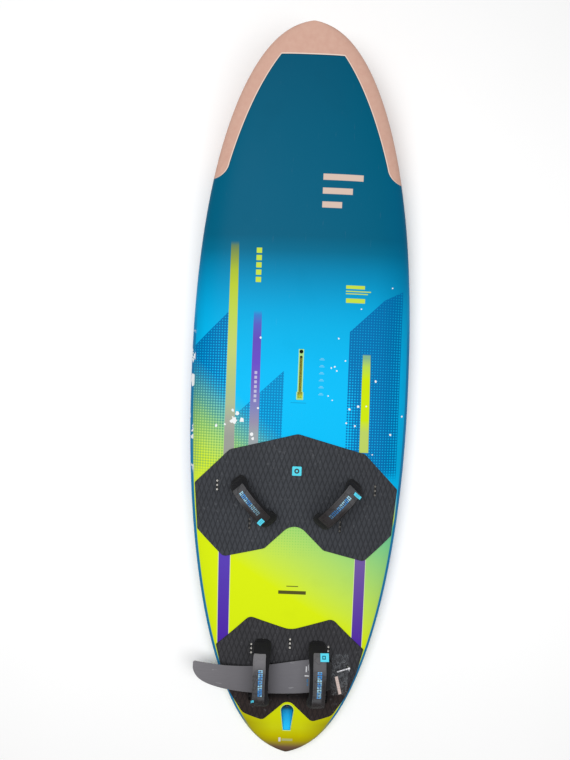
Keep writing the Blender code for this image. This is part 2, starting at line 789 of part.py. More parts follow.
def strap_meshes(reach):
    screw_u = SCREW_U + reach
    pocket = prism(circle(SCREW_HEAD[0] + 0.0008, 10), WEB_THICKNESS, WEB_THICKNESS + SCREW_HEAD[1] + 0.002)
    webbing = piece("webbing", across(webbing_outline(0.0, reach), WEB_WIDTH), "webbing")
    holes = [prism(circle(0.0031, 10, (s * screw_u, 0)), -0.01, 0.01) for s in (-1, 1)]
    hole_tool = cutter("webbing_holes", join(*holes))
    boolean(webbing, hole_tool)
    sleeve = piece("sleeve", across(sleeve_outline(reach), SLEEVE_WIDTH), "sleeve_neoprene")
    way = cutter("sleeve_way", across(webbing_outline(GAP * 2, reach), WEB_WIDTH + 4 * GAP))
    other = pocket.copy()
    sides = [
        moved(pocket, Matrix.Translation((screw_u, 0, 0))),
        moved(other, Matrix.Translation((-screw_u, 0, 0))),
    ]
    heads = cutter("sleeve_heads", join(*sides))
    boolean(sleeve, way)
    boolean(sleeve, heads)
    cover = piece("cover", across(cover_outline(reach), COVER_WIDTH), "cover_fabric")
    meshes = {"webbing": baked(webbing), "sleeve": baked(sleeve), "cover": baked(cover)}
    for tool in (hole_tool, way, heads):
        bpy.data.objects.remove(tool)
    return meshes


def cover_hinge(reach):
    """(u, n) of the cover's outer edge at the end that stays sewn down, on the positive side."""
    over = arch_grown(longer(SLEEVE_OUTER, reach), GAP + COVER_THICKNESS)
    return arch(*over, cover_start(reach), math.pi, 1)[0]


def tab_matrix(free_end, reach):
    """The pull tab lies on the cover near its free end and stands out to one side."""
    turn = cover_start(reach) + 0.16
    grown = arch_grown(longer(SLEEVE_OUTER, reach), 2 * GAP + COVER_THICKNESS)
    (u0, n0), (u1, n1) = arch(*grown, turn - 0.12, turn + 0.12, 1)
    (u, n), _ = arch(*grown, turn, math.pi, 1)
    tilt = math.atan2(n0 - n1, u0 - u1)
    at = Matrix.Translation((free_end * u, free_end * -0.014, n + 0.0006))
    return at @ Matrix.Rotation(-free_end * tilt, 4, "Y")


def make_strap(name, anchors, meshes, screw, tab):
    frame = strap_frame(*anchors, PAD_GAP + PAD_THICKNESS + STRAP_LIFT)
    anchor = empty(f"strap_{name}_frame", frame)
    place(f"strap_{name}_webbing", meshes["webbing"], parent=anchor)
    place(f"strap_{name}_sleeve", meshes["sleeve"], parent=anchor)
    free_end, reach = COVER_FREE_END[name], STRAP_REACH[name.split("_")[0]]
    u, n = cover_hinge(reach)
    hinge = Matrix.Translation((-free_end * u, 0, n))
    aside = Matrix.Translation((0, COVER_SIDE[name], 0))
    pivot = empty(f"strap_{name}_cover_hinge", frame @ hinge)
    place(f"strap_{name}_cover", meshes["cover"], hinge.inverted() @ aside, pivot)
    place(f"strap_{name}_pull_tab", tab, hinge.inverted() @ aside @ tab_matrix(free_end, reach), pivot)
    for end, sign in (("fore", -1), ("aft", 1)):
        at = Matrix.Translation((sign * (SCREW_U + reach), 0, WEB_THICKNESS + GAP))
        place(f"strap_{name}_screw_{end}", screw, at, anchor)


# --- fin and loose hardware ------------------------------------------------------------------------------------

def foil_section(thick):
    """Half thickness at shares of the chord, leading edge first."""
    shares = ((0.0, 0.06), (0.08, 0.62), (0.30, 1.0), (0.65, 0.72), (1.0, 0.07))
    return [(share, thick / 2 * part) for share, part in shares]


def blade_mesh():
    bm = bmesh.new()
    rings = []
    root, tip = FIN_THICKNESS
    for share, trailing, leading in FIN_EDGES:
        thick = root + (tip - root) * share
        x = -FIN_SPAN * share
        section = foil_section(thick)
        top = [(x, leading + (trailing - leading) * c - FIN_REST_Y, h) for c, h in section]
        under = [(x, y, -z) for x, y, z in reversed(top)]
        rings.append([bm.verts.new(p) for p in top + under])
    for one, two in zip(rings, rings[1:]):
        band_faces(bm, one, two)
    bm.faces.new(rings[0])
    bm.faces.new(rings[-1])
    return bm


def fin_frame():
    """The fin lies on the crown of the rear pad, parallel to the deck there."""
    rest = deck_point(0, FIN_REST_Y, PAD_GAP + PAD_THICKNESS + BASE_MOUTH[1] / 2 + 0.0008)
    tilt = Matrix.Rotation(math.atan(deck_slope(FIN_REST_Y)), 4, "X")
    return Matrix.Translation(rest) @ tilt @ Matrix.Translation((FIN_ROOT_X, 0, 0))


def make_fin():
    frame = empty("fin_frame", fin_frame())
    piece("fin_blade", blade_mesh(), "fin_composite", parent=frame)
    middle = (FIN_EDGES[0][1] + FIN_EDGES[0][2]) / 2 - FIN_REST_Y
    mouth = [(y, z) for y, z in rectangle(BASE_MOUTH[0], BASE_MOUTH[1])]
    end = [(y, z) for y, z in rectangle(BASE_END[0], BASE_END[1])]
    lying = Matrix(((0, 0, 1), (1, 0, 0), (0, 1, 0))).to_4x4()
    at = Matrix.Translation((0, middle, 0)) @ lying
    base = piece("fin_base", taper(mouth, end, GAP, GAP + BASE_DEPTH), "box_plastic", at, frame)
    deep = GAP + BASE_DEPTH - NUT_LENGTH - 0.002
    nut_bore = prism(circle(NUT_R + GAP, 12), deep, 0.04)
    boolean(base, cutter("nut_bore", nut_bore, frame.matrix_world @ at))
    nut = turned([(0.0030, 0), (NUT_R, 0), (NUT_R, NUT_LENGTH), (0.0030, NUT_LENGTH)], 12, closed=True)
    lift = Matrix.Translation((0, 0, deep + GAP))
    piece("fin_barrel_nut", nut, "brass", at @ lift, frame)


def hardware_frame():
    """Laid on the rear pad, square to the deck there."""
    x, y = BAG_CENTRE
    frame = strap_frame((x, y + 0.05), (x, y - 0.05), PAD_GAP + PAD_THICKNESS + 0.0022)
    return frame @ Matrix.Rotation(math.pi / 2, 4, "Z")


def make_hardware():
    frame = empty("hardware_frame", hardware_frame())
    width, length, film = BAG_SIZE
    piece("hardware_bag", prism(rounded(box_corners(width, length, 0.004), 2), 0, film), "bag_film", parent=frame)
    radius, height = BOLT_HEAD
    shank, reach = BOLT_SHANK
    profile = [(0.0, height), (radius, height), (radius, 0.0), (shank, 0.0), (shank, -reach), (0.0, -reach)]
    lying = Matrix.Rotation(math.radians(104), 4, "Z") @ Matrix.Rotation(math.pi / 2, 4, "X")
    rest = Matrix.Translation((0.028, 0.026, film + WASHER_R[1] + GAP))
    piece("fin_bolt", turned(profile, 12), "steel", rest @ lying, frame)
    inner, outer = WASHER_R
    ring = turned([(inner, 0), (outer, 0), (outer, 0.0016), (inner, 0.0016)], 16, closed=True)
    slip = Matrix.Translation((0, 0, -0.0016 - GAP))
    piece("fin_bolt_washer", ring, "steel", rest @ lying @ slip, frame)
    strip_width, strip_length, strip = STRIP_SIZE
    paper = prism(rectangle(strip_width, strip_length), 0, strip)
    turn = Matrix.Rotation(math.radians(14), 4, "Z")
    at = Matrix.Translation((-0.004, -0.039, film + GAP))
    piece("bag_label_strip", paper, "paper", at @ turn, frame)


def main():
    for obj in list(bpy.data.objects):
        bpy.data.objects.remove(obj)
    places = insert_places()
    make_board(places)
    insert = insert_mesh()
    for name, matrix in places.items():
        place(name, insert, matrix)
    slots = cutter("pad_slots", join(*pad_slots(places)))
    make_pad("front_deck_pad", FRONT_PAD, slots)
    make_pad("rear_deck_pad", REAR_PAD, slots)
    make_badge()
    make_track()
    make_vent()
    make_fin_box()
    make_cup()
    screw = screw_mesh()
    width, length, thick = TAB_SIZE
    tab = mesh_of("pull_tab", prism(rectangle(width, length), 0, thick), "tab_fabric")
    for end, anchors in STRAP_ANCHORS.items():
        meshes = strap_meshes(STRAP_REACH[end])
        make_strap(end + "_left", to_side(anchors, -1), meshes, screw, tab)
        make_strap(end + "_right", to_side(anchors, 1), meshes, screw, tab)
    make_fin()
    make_hardware()


main()
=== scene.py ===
"""The looks of the windsurf board: fine surfaces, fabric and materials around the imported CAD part.

Frame: metres, +Z up, +Y towards the nose, +X to starboard. Colours are written as 0 to 255 display values.
"""

import json
import math
import random

import bmesh
import bpy
from mathutils import Matrix, Vector, noise

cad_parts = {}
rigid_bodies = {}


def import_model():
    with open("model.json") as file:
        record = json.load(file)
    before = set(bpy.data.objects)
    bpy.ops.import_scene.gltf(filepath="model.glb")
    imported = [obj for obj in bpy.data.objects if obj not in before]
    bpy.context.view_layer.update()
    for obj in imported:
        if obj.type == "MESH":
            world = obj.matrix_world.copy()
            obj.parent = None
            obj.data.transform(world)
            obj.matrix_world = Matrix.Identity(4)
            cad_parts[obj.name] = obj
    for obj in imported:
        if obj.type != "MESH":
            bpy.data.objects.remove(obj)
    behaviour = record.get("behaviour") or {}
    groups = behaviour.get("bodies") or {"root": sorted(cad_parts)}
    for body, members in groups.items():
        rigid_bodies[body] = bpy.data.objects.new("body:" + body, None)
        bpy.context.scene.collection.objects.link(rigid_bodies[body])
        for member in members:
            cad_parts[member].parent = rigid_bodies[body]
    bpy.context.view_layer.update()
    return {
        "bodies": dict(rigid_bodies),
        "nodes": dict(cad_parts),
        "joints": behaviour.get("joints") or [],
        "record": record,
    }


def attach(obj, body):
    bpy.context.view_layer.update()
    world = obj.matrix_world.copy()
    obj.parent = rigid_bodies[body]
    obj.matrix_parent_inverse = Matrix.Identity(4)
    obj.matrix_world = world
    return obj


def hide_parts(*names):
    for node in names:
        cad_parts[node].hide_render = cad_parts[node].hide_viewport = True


# Hull, as in the CAD part
LENGTH = 2.460
WIDTH = 0.753
WIDE_Y = 0.062
NOSE_OUTLINE = (2.333, 0.494)
TAIL_OUTLINE = (2.111, 0.478)
NOSE_ROCKER = 0.200
FLAT_END_Y = 0.050
ROCKER_POWER = 2.3
THICK_Y = 0.100
THICKNESS = 0.136
NOSE_THICKNESS = 0.024
TAIL_THICKNESS = 0.045
NOSE_FOIL = (2.0, 0.8)
TAIL_FOIL = (2.0, 1.0)
RAIL_APEX = 0.42
DECK_POWERS = (3.0, 2.0)
TUCK = 0.045
SKIN = 0.005
SEAM = 0.0002
TIP = 0.0002
GAP = 0.0003
CLEAR = 0.02  # how far a cutting tool stands above the deck
STATIONS = 170
DECK_STEPS = 60
TUCK_STEPS = 9
FLAT_STEPS = 10
SHARP = 35  # degrees

# Deck pads: half outlines as corners (x, y, corner radius)
PAD_THICKNESS = 0.005
PAD_GAP = 0.0004
FRONT_PAD = (
    (0.000, -0.1135, 0.030),
    (0.2285, -0.1740, 0.030),
    (0.3480, -0.2955, 0.008),
    (0.3340, -0.4550, 0.008),
    (0.2390, -0.5410, 0.022),
    (0.1000, -0.5055, 0.020),
    (0.000, -0.4080, 0.050),
)
REAR_PAD = (
    (0.000, -0.7860, 0.080),
    (0.1415, -0.7428, 0.025),
    (0.2560, -0.8566, 0.006),
    (0.2355, -0.9450, 0.050),
    (0.2031, -1.0278, 0.060),
    (0.1560, -1.0955, 0.030),
    (0.0850, -1.1141, 0.020),
    (0.000, -1.0335, 0.028),
)
DIAMOND = (0.0174, 0.048)
GROOVE = 0.0016
CROWN = 0.0009
# The rings of a diamond: share of its size, and height
DIAMOND_RINGS = (
    (0.92, PAD_THICKNESS - GROOVE + 0.0001),
    (0.80, PAD_THICKNESS - CROWN),
    (0.22, PAD_THICKNESS),
)
PAD_BEVEL = 0.0014
PAD_SHARP = 18  # degrees

# Footstrap stations: (forward anchor, aft anchor) for a starboard strap
STRAP_ANCHORS = {
    "front": ((0.1960, -0.2795), (0.0830, -0.4055)),
    "rear": ((0.0920, -0.8485), (0.0920, -1.0185)),
}
SPARE_ANCHORS = {
    "front_outer": ((0.2635, -0.3020), (0.1570, -0.4190)),
    "rear_outer": ((0.1320, -0.8560), (0.1320, -1.0260)),
}
CENTRE_ANCHORS = ((0.000, -0.8330), (0.000, -1.0030))
INSERT_SIZE = (0.020, 0.056, 0.026)
INSERT_PITCH = 0.015
INSERT_SUNK = 0.0032
PAD_SLOT = (0.0080, 0.0400)
SCREW_U = 0.0850
STRAP_REACH = {"front": -0.0075, "rear": 0.0105}

# Mast track pocket and bolt cup
TRACK_Y = (0.0016, 0.1720)
TRACK_HALF_WIDTH = 0.0105
TRACK_PORT_HALF_WIDTH = 0.0135
TRACK_PORT_LENGTH = 0.026
TRACK_DEPTH = 0.034
FIN_BOX_Y = -1.075
FIN_BOX_SIZE = (0.034, 0.146, 0.0300)
CUP_NOSE_Y = -1.0771
CUP_NOSE_R = 0.0235
CUP_TAIL_Y = -1.1520
CUP_TAIL_HALF = 0.0145
CUP_WALL = 0.0020
CUP_DEEP_Z = 0.0330
CUP_SHALLOW = 0.0060
BOLT_HOLE_R = 0.0034


# --- the board's surface ---

def bent(value, power):
    """A cosine or a sine as the coordinate of a superellipse, with its sign kept."""
    return math.copysign(abs(value) ** (2 / power), value)


def side(y, centre):
    """How far y lies from centre towards its end of the board, from 0 to 1."""
    reach = LENGTH / 2 - centre if y > centre else LENGTH / 2 + centre
    return min(abs(y - centre) / reach, 1.0)


def half_width(y):
    a, b = NOSE_OUTLINE if y > WIDE_Y else TAIL_OUTLINE
    return WIDTH / 2 * (1 - side(y, WIDE_Y) ** a) ** b


def bottom_z(y):
    rise = max(0.0, (y - FLAT_END_Y) / (LENGTH / 2 - FLAT_END_Y))
    return NOSE_ROCKER * rise**ROCKER_POWER


def thickness(y):
    a, b = NOSE_FOIL if y > THICK_Y else TAIL_FOIL
    least = NOSE_THICKNESS if y > THICK_Y else TAIL_THICKNESS
    return least + (THICKNESS - least) * (1 - side(y, THICK_Y) ** a) ** b


def apex_z(y):
    return bottom_z(y) + RAIL_APEX * thickness(y)


def deck_z(x, y):
    across = min(abs(x) / half_width(y), 1.0)
    crown = (1 - RAIL_APEX) * thickness(y)
    return apex_z(y) + crown * (1 - across ** DECK_POWERS[0]) ** (1 / DECK_POWERS[1])


def deck_point(x, y, above=0.0):
    return Vector((x, y, deck_z(x, y) + above))


def deck_slope(y):
    step = 0.01
    return (deck_z(0, y + step) - deck_z(0, y - step)) / (2 * step)


def deck_tilt(y):
    return Matrix.Rotation(math.atan(deck_slope(y)), 4, "X")


def inset_point(x, y, z, inset):
    return (x * (1 - inset / (WIDTH / 2)), y * (1 - inset / (LENGTH / 2)), z)


def station_ys():
    reach = LENGTH / 2 - TIP
    return [-reach * math.cos(math.pi * i / STATIONS) for i in range(STATIONS + 1)]


def deck_arc(y, inset):
    """One section of the deck, from the port rail over the crown to the starboard rail."""
    width, low = half_width(y), apex_z(y) + SEAM
    crown = bottom_z(y) + thickness(y) - inset - low
    points = []
    for k in range(DECK_STEPS + 1):
        turn = math.pi * k / DECK_STEPS
        c, s = math.cos(turn), max(math.sin(turn), 0.0)
        x = -bent(c, DECK_POWERS[0]) * width
        points.append(inset_point(x, y, low + crown * bent(s, DECK_POWERS[1]), inset))
    return points


def bottom_arc(y, inset):
    """One section of the bottom, from the port rail round the tuck and across to the starboard rail."""
    width, high = half_width(y), apex_z(y) - SEAM
    tuck = min(TUCK, width / 2)
    drop = high - bottom_z(y) - inset
    right = []
    for k in range(TUCK_STEPS + 1):
        turn = math.pi / 2 * k / TUCK_STEPS
        right.append((width - tuck + tuck * math.cos(turn), high - drop * math.sin(turn)))
    edge, low = right[-1]
    flat = [(edge * (1 - 2 * k / FLAT_STEPS), low) for k in range(1, FLAT_STEPS)]
    left = [(-x, z) for x, z in right]
    return [inset_point(x, y, z, inset) for x, z in left + flat[::-1] + right[::-1]]


# --- mesh helpers ---

def rows_of(bm, arcs):
    return [[bm.verts.new(p) for p in arc] for arc in arcs]


def sheet_faces(bm, rows):
    for low, high in zip(rows, rows[1:]):
        for k in range(len(low) - 1):
            bm.faces.new((low[k], low[k + 1], high[k + 1], high[k]))


def band_faces(bm, one, two):
    """A strip between two closed loops of the same length."""
    for k in range(len(one)):
        bm.faces.new((one[k - 1], one[k], two[k], two[k - 1]))


def loft(loops, capped=True):
    """A closed skin over loops of the same length, with flat ends unless it is a ring of loops."""
    bm = bmesh.new()
    rings = rows_of(bm, loops)
    for one, two in zip(rings, rings[1:]):
        band_faces(bm, one, two)
    if capped:
        bm.faces.new(rings[0])
        bm.faces.new(rings[-1])
    else:
        band_faces(bm, rings[-1], rings[0])
    return bm


def prism(outline, low, high):
    return loft([[(x, y, z) for x, y in outline] for z in (low, high)])


def circle(radius, steps, centre=(0.0, 0.0)):
    turns = [2 * math.pi * k / steps for k in range(steps)]
    return [(centre[0] + radius * math.cos(t), centre[1] + radius * math.sin(t)) for t in turns]


def rounded(corners, steps=8):
    """A closed outline from corners (x, y, radius), each turned into an arc."""
    outline = []
    for i, (x, y, radius) in enumerate(corners):
        here = Vector((x, y))
        before = (Vector(corners[i - 1][:2]) - here).normalized()
        after = (Vector(corners[(i + 1) % len(corners)][:2]) - here).normalized()
        half = before.angle(after) / 2
        centre = here + (before + after).normalized() * (radius / math.sin(half))
        start = here + before * (radius / math.tan(half)) - centre
        turn = (math.pi - 2 * half) * (1 if before.x * after.y - before.y * after.x < 0 else -1)
        for k in range(steps + 1):
            outline.append(tuple(centre + Matrix.Rotation(turn * k / steps, 2) @ start))
    return outline


def box_corners(width, length, radius):
    w, h = width / 2, length / 2
    return [(-w, -h, radius), (w, -h, radius), (w, h, radius), (-w, h, radius)]


def mirrored(half):
    return list(half) + [(-x, y, r) for x, y, r in reversed(half[1:-1])]


def shrunk(outline, by):
    """An outline moved inwards by a distance."""
    area = sum(a[0] * b[1] - b[0] * a[1] for a, b in zip(outline, outline[1:] + outline[:1]))
    inward = math.copysign(by, area)
    moved_in = []
    for i, (x, y) in enumerate(outline):
        ahead, behind = Vector(outline[(i + 1) % len(outline)]), Vector(outline[i - 1])
        along = (ahead - behind).normalized()
        moved_in.append((x - along.y * inward, y + along.x * inward))
    return moved_in


def moved(bm, matrix):
    bm.transform(matrix)
    return bm


def join(meshes):
    whole = bmesh.new()
    for bm in meshes:
        part = bpy.data.meshes.new("part")
        bm.to_mesh(part)
        bm.free()
        whole.from_mesh(part)
        bpy.data.meshes.remove(part)
    return whole


def turned(profile, steps, closed=False):
    """A profile of (radius, height) spun about Z. A closed one is a ring; another's ends lie on the axis."""
    bm = bmesh.new()
    rings = []
    for radius, height in profile:
        if radius == 0.0:
            rings.append([bm.verts.new((0, 0, height))] * steps)
        else:
            rings.append([bm.verts.new((x, y, height)) for x, y in circle(radius, steps)])
    pairs = list(zip(rings, rings[1:]))
    if closed:
        pairs.append((rings[-1], rings[0]))
    for one, two in pairs:
        for k in range(steps):
            bm.faces.new(dict.fromkeys((one[k - 1], one[k], two[k], two[k - 1])))
    return bm


def new_object(name, data):
    obj = bpy.data.objects.new(name, data)
    bpy.context.scene.collection.objects.link(obj)
    return obj


def piece(name, bm, look, matrix=None, sharp=SHARP):
    """A new object from a bmesh, shaded smooth except at sharp edges."""
    if matrix is not None:
        bm.transform(matrix)
    bmesh.ops.recalc_face_normals(bm, faces=bm.faces)
    mesh = bpy.data.meshes.new(name)
    bm.to_mesh(mesh)
    bm.free()
    if look:
        mesh.materials.append(look)
    mesh.shade_smooth()
    mesh.set_sharp_from_angle(angle=math.radians(sharp))
    return new_object(name, mesh)


def cut(obj, tools, operation="DIFFERENCE"):
    """Apply a Boolean with each closed bmesh in tools, and remove what was used for it."""
    for bm in tools:
        tool = piece("tool", bm, None)
        modifier = obj.modifiers.new("cut", "BOOLEAN")
        modifier.operation = operation
        modifier.solver = "EXACT"
        modifier.object = tool
        bpy.context.view_layer.update()
        evaluated = obj.evaluated_get(bpy.context.evaluated_depsgraph_get())
        mesh = bpy.data.meshes.new_from_object(evaluated)
        obj.modifiers.remove(modifier)
        obj.data = mesh
        bpy.data.objects.remove(tool)
    mesh.shade_smooth()
    mesh.set_sharp_from_angle(angle=math.radians(SHARP))


# --- shaders ---

def ink(red, green, blue):
    """A display colour as the linear values a shader works in."""
    shares = [c / 255 for c in (red, green, blue)]
    return tuple(s / 12.92 if s <= 0.04045 else ((s + 0.055) / 1.055) ** 2.4 for s in shares) + (1.0,)


def dimmed(tone, share):
    return tuple(c * share for c in tone)


def plug(tree, value, socket):
    """Give a socket what varies over the surface, a display colour, or a plain value."""
    if isinstance(value, Val):
        tree.links.new(value.socket, socket)
    elif isinstance(value, tuple) and len(value) == 3:
        socket.default_value = ink(*value)
    else:
        socket.default_value = value


class Val:
    """A number or colour that varies over a surface. Arithmetic on it adds Math nodes."""

    def __init__(self, tree, socket):
        self.tree, self.socket = tree, socket

    def math(self, operation, *others):
        node = self.tree.nodes.new("ShaderNodeMath")
        node.operation = operation
        for socket, value in zip(node.inputs, (self, *others)):
            plug(self.tree, value, socket)
        return Val(self.tree, node.outputs[0])

    def __add__(self, other):
        return self.math("ADD", other)

    __radd__ = __add__

    def __sub__(self, other):
        return self.math("SUBTRACT", other)

    def __rsub__(self, other):
        return self * -1.0 + other

    def __mul__(self, other):
        return self.math("MULTIPLY", other)

    def __abs__(self):
        return self.math("ABSOLUTE")

    def power(self, other):
        return self.math("POWER", other)

    def least(self, other):
        return self.math("MINIMUM", other)

    def most(self, other):
        return self.math("MAXIMUM", other)

    def wave(self, length):
        return (self * (2 * math.pi / length)).math("COSINE")

    def ramp(self, low, high, kind="SMOOTHSTEP"):
        """0 at low and 1 at high."""
        node = self.tree.nodes.new("ShaderNodeMapRange")
        node.interpolation_type = kind
        node.clamp = True
        for socket, value in zip(node.inputs, (self, low, high)):
            plug(self.tree, value, socket)
        return Val(self.tree, node.outputs[0])

    def line(self, low, high):
        return self.ramp(low, high, "LINEAR")

    def between(self, low, high, soft=0.0006):
        """1 between low and high, with soft edges."""
        return (self - low).ramp(-soft, soft) * (high - self).ramp(-soft, soft)

    def gradient(self, stops):
        """A colour from stops of (value, display colour)."""
        stops = sorted(stops)
        low, high = stops[0][0], stops[-1][0]
        node = self.tree.nodes.new("ShaderNodeValToRGB")
        self.tree.links.new(self.line(low, high).socket, node.inputs[0])
        elements = node.color_ramp.elements
        shares = [(at - low) / (high - low) for at, _ in stops]
        elements[0].position = shares[0]
        elements[1].position = shares[1]
        for share in shares[2:]:
            elements.new(share)
        for element, (_, colour) in zip(sorted(elements, key=lambda e: e.position), stops):
            element.color = ink(*colour)
        return Val(self.tree, node.outputs[0])


class Look:
    """A procedural material. Its coordinates are the board's own, in metres."""

    def __init__(self, name, roughness=0.5, metallic=0.0, specular=0.5):
        self.material = bpy.data.materials.new("look_" + name)
        self.material.use_nodes = True
        self.tree = self.material.node_tree
        self.shader = self.tree.nodes["Principled BSDF"]
        self.shader.inputs["Roughness"].default_value = roughness
        self.shader.inputs["Metallic"].default_value = metallic
        self.shader.inputs["Specular IOR Level"].default_value = specular
        self.coords = self.tree.nodes.new("ShaderNodeTexCoord")
        self.coat = None

    def where(self, kind="Object"):
        """The three coordinates as numbers: Object for the board's, UV for a strap's own."""
        node = self.tree.nodes.new("ShaderNodeSeparateXYZ")
        self.tree.links.new(self.coords.outputs[kind], node.inputs[0])
        return [Val(self.tree, socket) for socket in node.outputs]

    def stretched(self, scale):
        node = self.tree.nodes.new("ShaderNodeMapping")
        self.tree.links.new(self.coords.outputs["Object"], node.inputs["Vector"])
        node.inputs["Scale"].default_value = scale
        return Val(self.tree, node.outputs[0])

    def texture(self, kind, output, vector=None, **settings):
        node = self.tree.nodes.new(kind)
        plug(self.tree, vector or Val(self.tree, self.coords.outputs["Object"]), node.inputs["Vector"])
        for name, value in settings.items():
            node.inputs[name].default_value = value
        return Val(self.tree, node.outputs[output])

    def noise(self, scale, detail, vector=None):
        return self.texture("ShaderNodeTexNoise", "Fac", vector, Scale=scale, Detail=detail)

    def cells(self, scale):
        return self.texture("ShaderNodeTexVoronoi", "Distance", Scale=scale)

    def mix(self, one, two, share):
        node = self.tree.nodes.new("ShaderNodeMix")
        node.data_type = "RGBA"
        for index, value in ((0, share), (6, one), (7, two)):
            plug(self.tree, value, node.inputs[index])
        return Val(self.tree, node.outputs[2])

    def lay(self, colour, share):
        """Lay a colour over the coat so far, as strongly as share says."""
        self.coat = self.mix(self.coat, colour, share)

    def near(self, x, y):
        """Distance in plan from a point on the board."""
        plan, node = [self.tree.nodes.new("ShaderNodeVectorMath") for _ in range(2)]
        plan.operation, node.operation = "MULTIPLY", "DISTANCE"
        self.tree.links.new(self.coords.outputs["Object"], plan.inputs[0])
        plan.inputs[1].default_value = (1.0, 1.0, 0.0)
        self.tree.links.new(plan.outputs[0], node.inputs[0])
        node.inputs[1].default_value = (x, y, 0.0)
        return Val(self.tree, node.outputs["Value"])

    def done(self, rough=None, bump=None):
        """The finished material. bump is a height, the distance it stands for, and its strength."""
        plug(self.tree, self.coat, self.shader.inputs["Base Color"])
        if rough is not None:
            plug(self.tree, rough, self.shader.inputs["Roughness"])
        if bump is not None:
            node = self.tree.nodes.new("ShaderNodeBump")
            for name, value in zip(("Height", "Distance", "Strength"), bump):
                plug(self.tree, value, node.inputs[name])
            self.tree.links.new(node.outputs[0], self.shader.inputs["Normal"])
        return self.material


# --- deck paint ---

LIME = (219, 240, 20)
SEA_GREEN = (0.0, 0.50, 0.37, 1.0)  # linear values, unlike the others
DECK_ALONG = (
    (1.10, (5, 86, 115)), (0.90, (2, 91, 121)), (0.70, (3, 94, 125)), (0.55, (3, 95, 126)),
    (0.50, (2, 107, 142)), (0.45, (2, 127, 170)), (0.40, (2, 142, 190)), (0.35, (2, 155, 206)),
    (0.30, (2, 166, 219)), (0.25, (3, 174, 227)), (0.20, (2, 179, 233)), (0.10, (3, 187, 244)),
    (0.00, (2, 190, 247)),
)
TAIL_ALONG = (
    (-1.232, (60, 50, 40)), (-1.212, (114, 89, 67)), (-1.190, (178, 163, 12)), (-1.170, (198, 191, 2)),
    (-1.140, (207, 210, 21)), (-1.100, (212, 218, 12)), (-1.050, (214, 228, 16)), (-0.950, LIME),
)
# Stripes: (y, left x, right x) at the forward end and at the aft end, the fade's length, and colours along y
STRIPES = (
    ((0.53, -0.2495, -0.2227), (-0.215, -0.2502, -0.2140), 0.02, (
        (0.53, (63, 112, 110)), (0.50, (116, 139, 81)), (0.47, (142, 160, 68)), (0.43, (171, 190, 54)),
        (0.38, (184, 203, 54)), (0.28, (189, 212, 84)), (0.16, (191, 207, 115)), (0.04, (176, 193, 132)),
        (-0.02, (174, 187, 146)), (-0.08, (165, 168, 157)), (-0.13, (154, 157, 150)))),
    ((0.299, -0.1644, -0.1375), (-0.190, -0.1668, -0.1338), 0.02, (
        (0.28, (60, 126, 204)), (0.25, (91, 95, 192)), (0.20, (100, 77, 185)), (0.12, (106, 77, 196)),
        (0.05, (114, 96, 189)), (-0.04, (133, 134, 182)), (-0.08, (148, 143, 169)),
        (-0.12, (154, 163, 167)))),
    ((0.163, 0.2073, 0.2338), (-0.170, 0.2078, 0.2388), 0.006, (
        (0.15, (131, 180, 139)), (0.12, (183, 217, 79)), (0.08, (205, 230, 4)), (-0.06, (205, 230, 4)),
        (-0.10, (187, 209, 99)))),
    ((-0.520, -0.2551, -0.2154), (-0.860, -0.2510, -0.2127), 0.002, (
        (-0.55, (92, 67, 182)), (-0.84, (80, 44, 170)))),
    ((-0.520, 0.2092, 0.2455), (-0.860, 0.2105, 0.2474), 0.002, (
        (-0.55, (114, 90, 163)), (-0.84, (83, 45, 166)))),
)
DOT_PITCH = 0.0093
# Chips in the paint: (x, y, radius)
CHIPS = (
    (-0.2235, -0.0425, 0.005), (-0.2087, -0.0527, 0.006), (-0.2186, -0.0767, 0.012),
    (-0.1914, -0.0740, 0.007),
    (-0.2494, -0.0907, 0.004), (-0.2783, -0.0959, 0.005), (-0.1387, -0.0315, 0.004), (-0.1387, 0.2060, 0.004),
    (-0.1570, -0.1200, 0.006), (-0.1524, -0.1350, 0.005), (0.1020, 0.1125, 0.003), (0.1140, 0.1167, 0.003),
    (0.1212, 0.1035, 0.003), (0.1098, 0.0040, 0.003), (0.0951, 0.0180, 0.003), (0.2547, 0.0729, 0.004),
    (0.1689, -0.0244, 0.004), (0.1981, -0.0141, 0.004), (0.1600, -0.0706, 0.004), (0.1893, -0.0796, 0.004),
    (0.3136, -0.1069, 0.004), (0.3539, -0.0439, 0.004), (0.2259, -0.0124, 0.003), (0.1495, 0.1379, 0.003),
    (0.3003, 0.3899, 0.003), (0.1962, 0.3145, 0.003), (0.1237, 0.2120, 0.003), (0.2538, -0.1752, 0.003),
)


def repeated(count, step, left, right, low, high):
    """One bar (left, right, low, high) and its copies, each a step further forward."""
    return [(left, right, low + step * k, high + step * k) for k in range(count)]


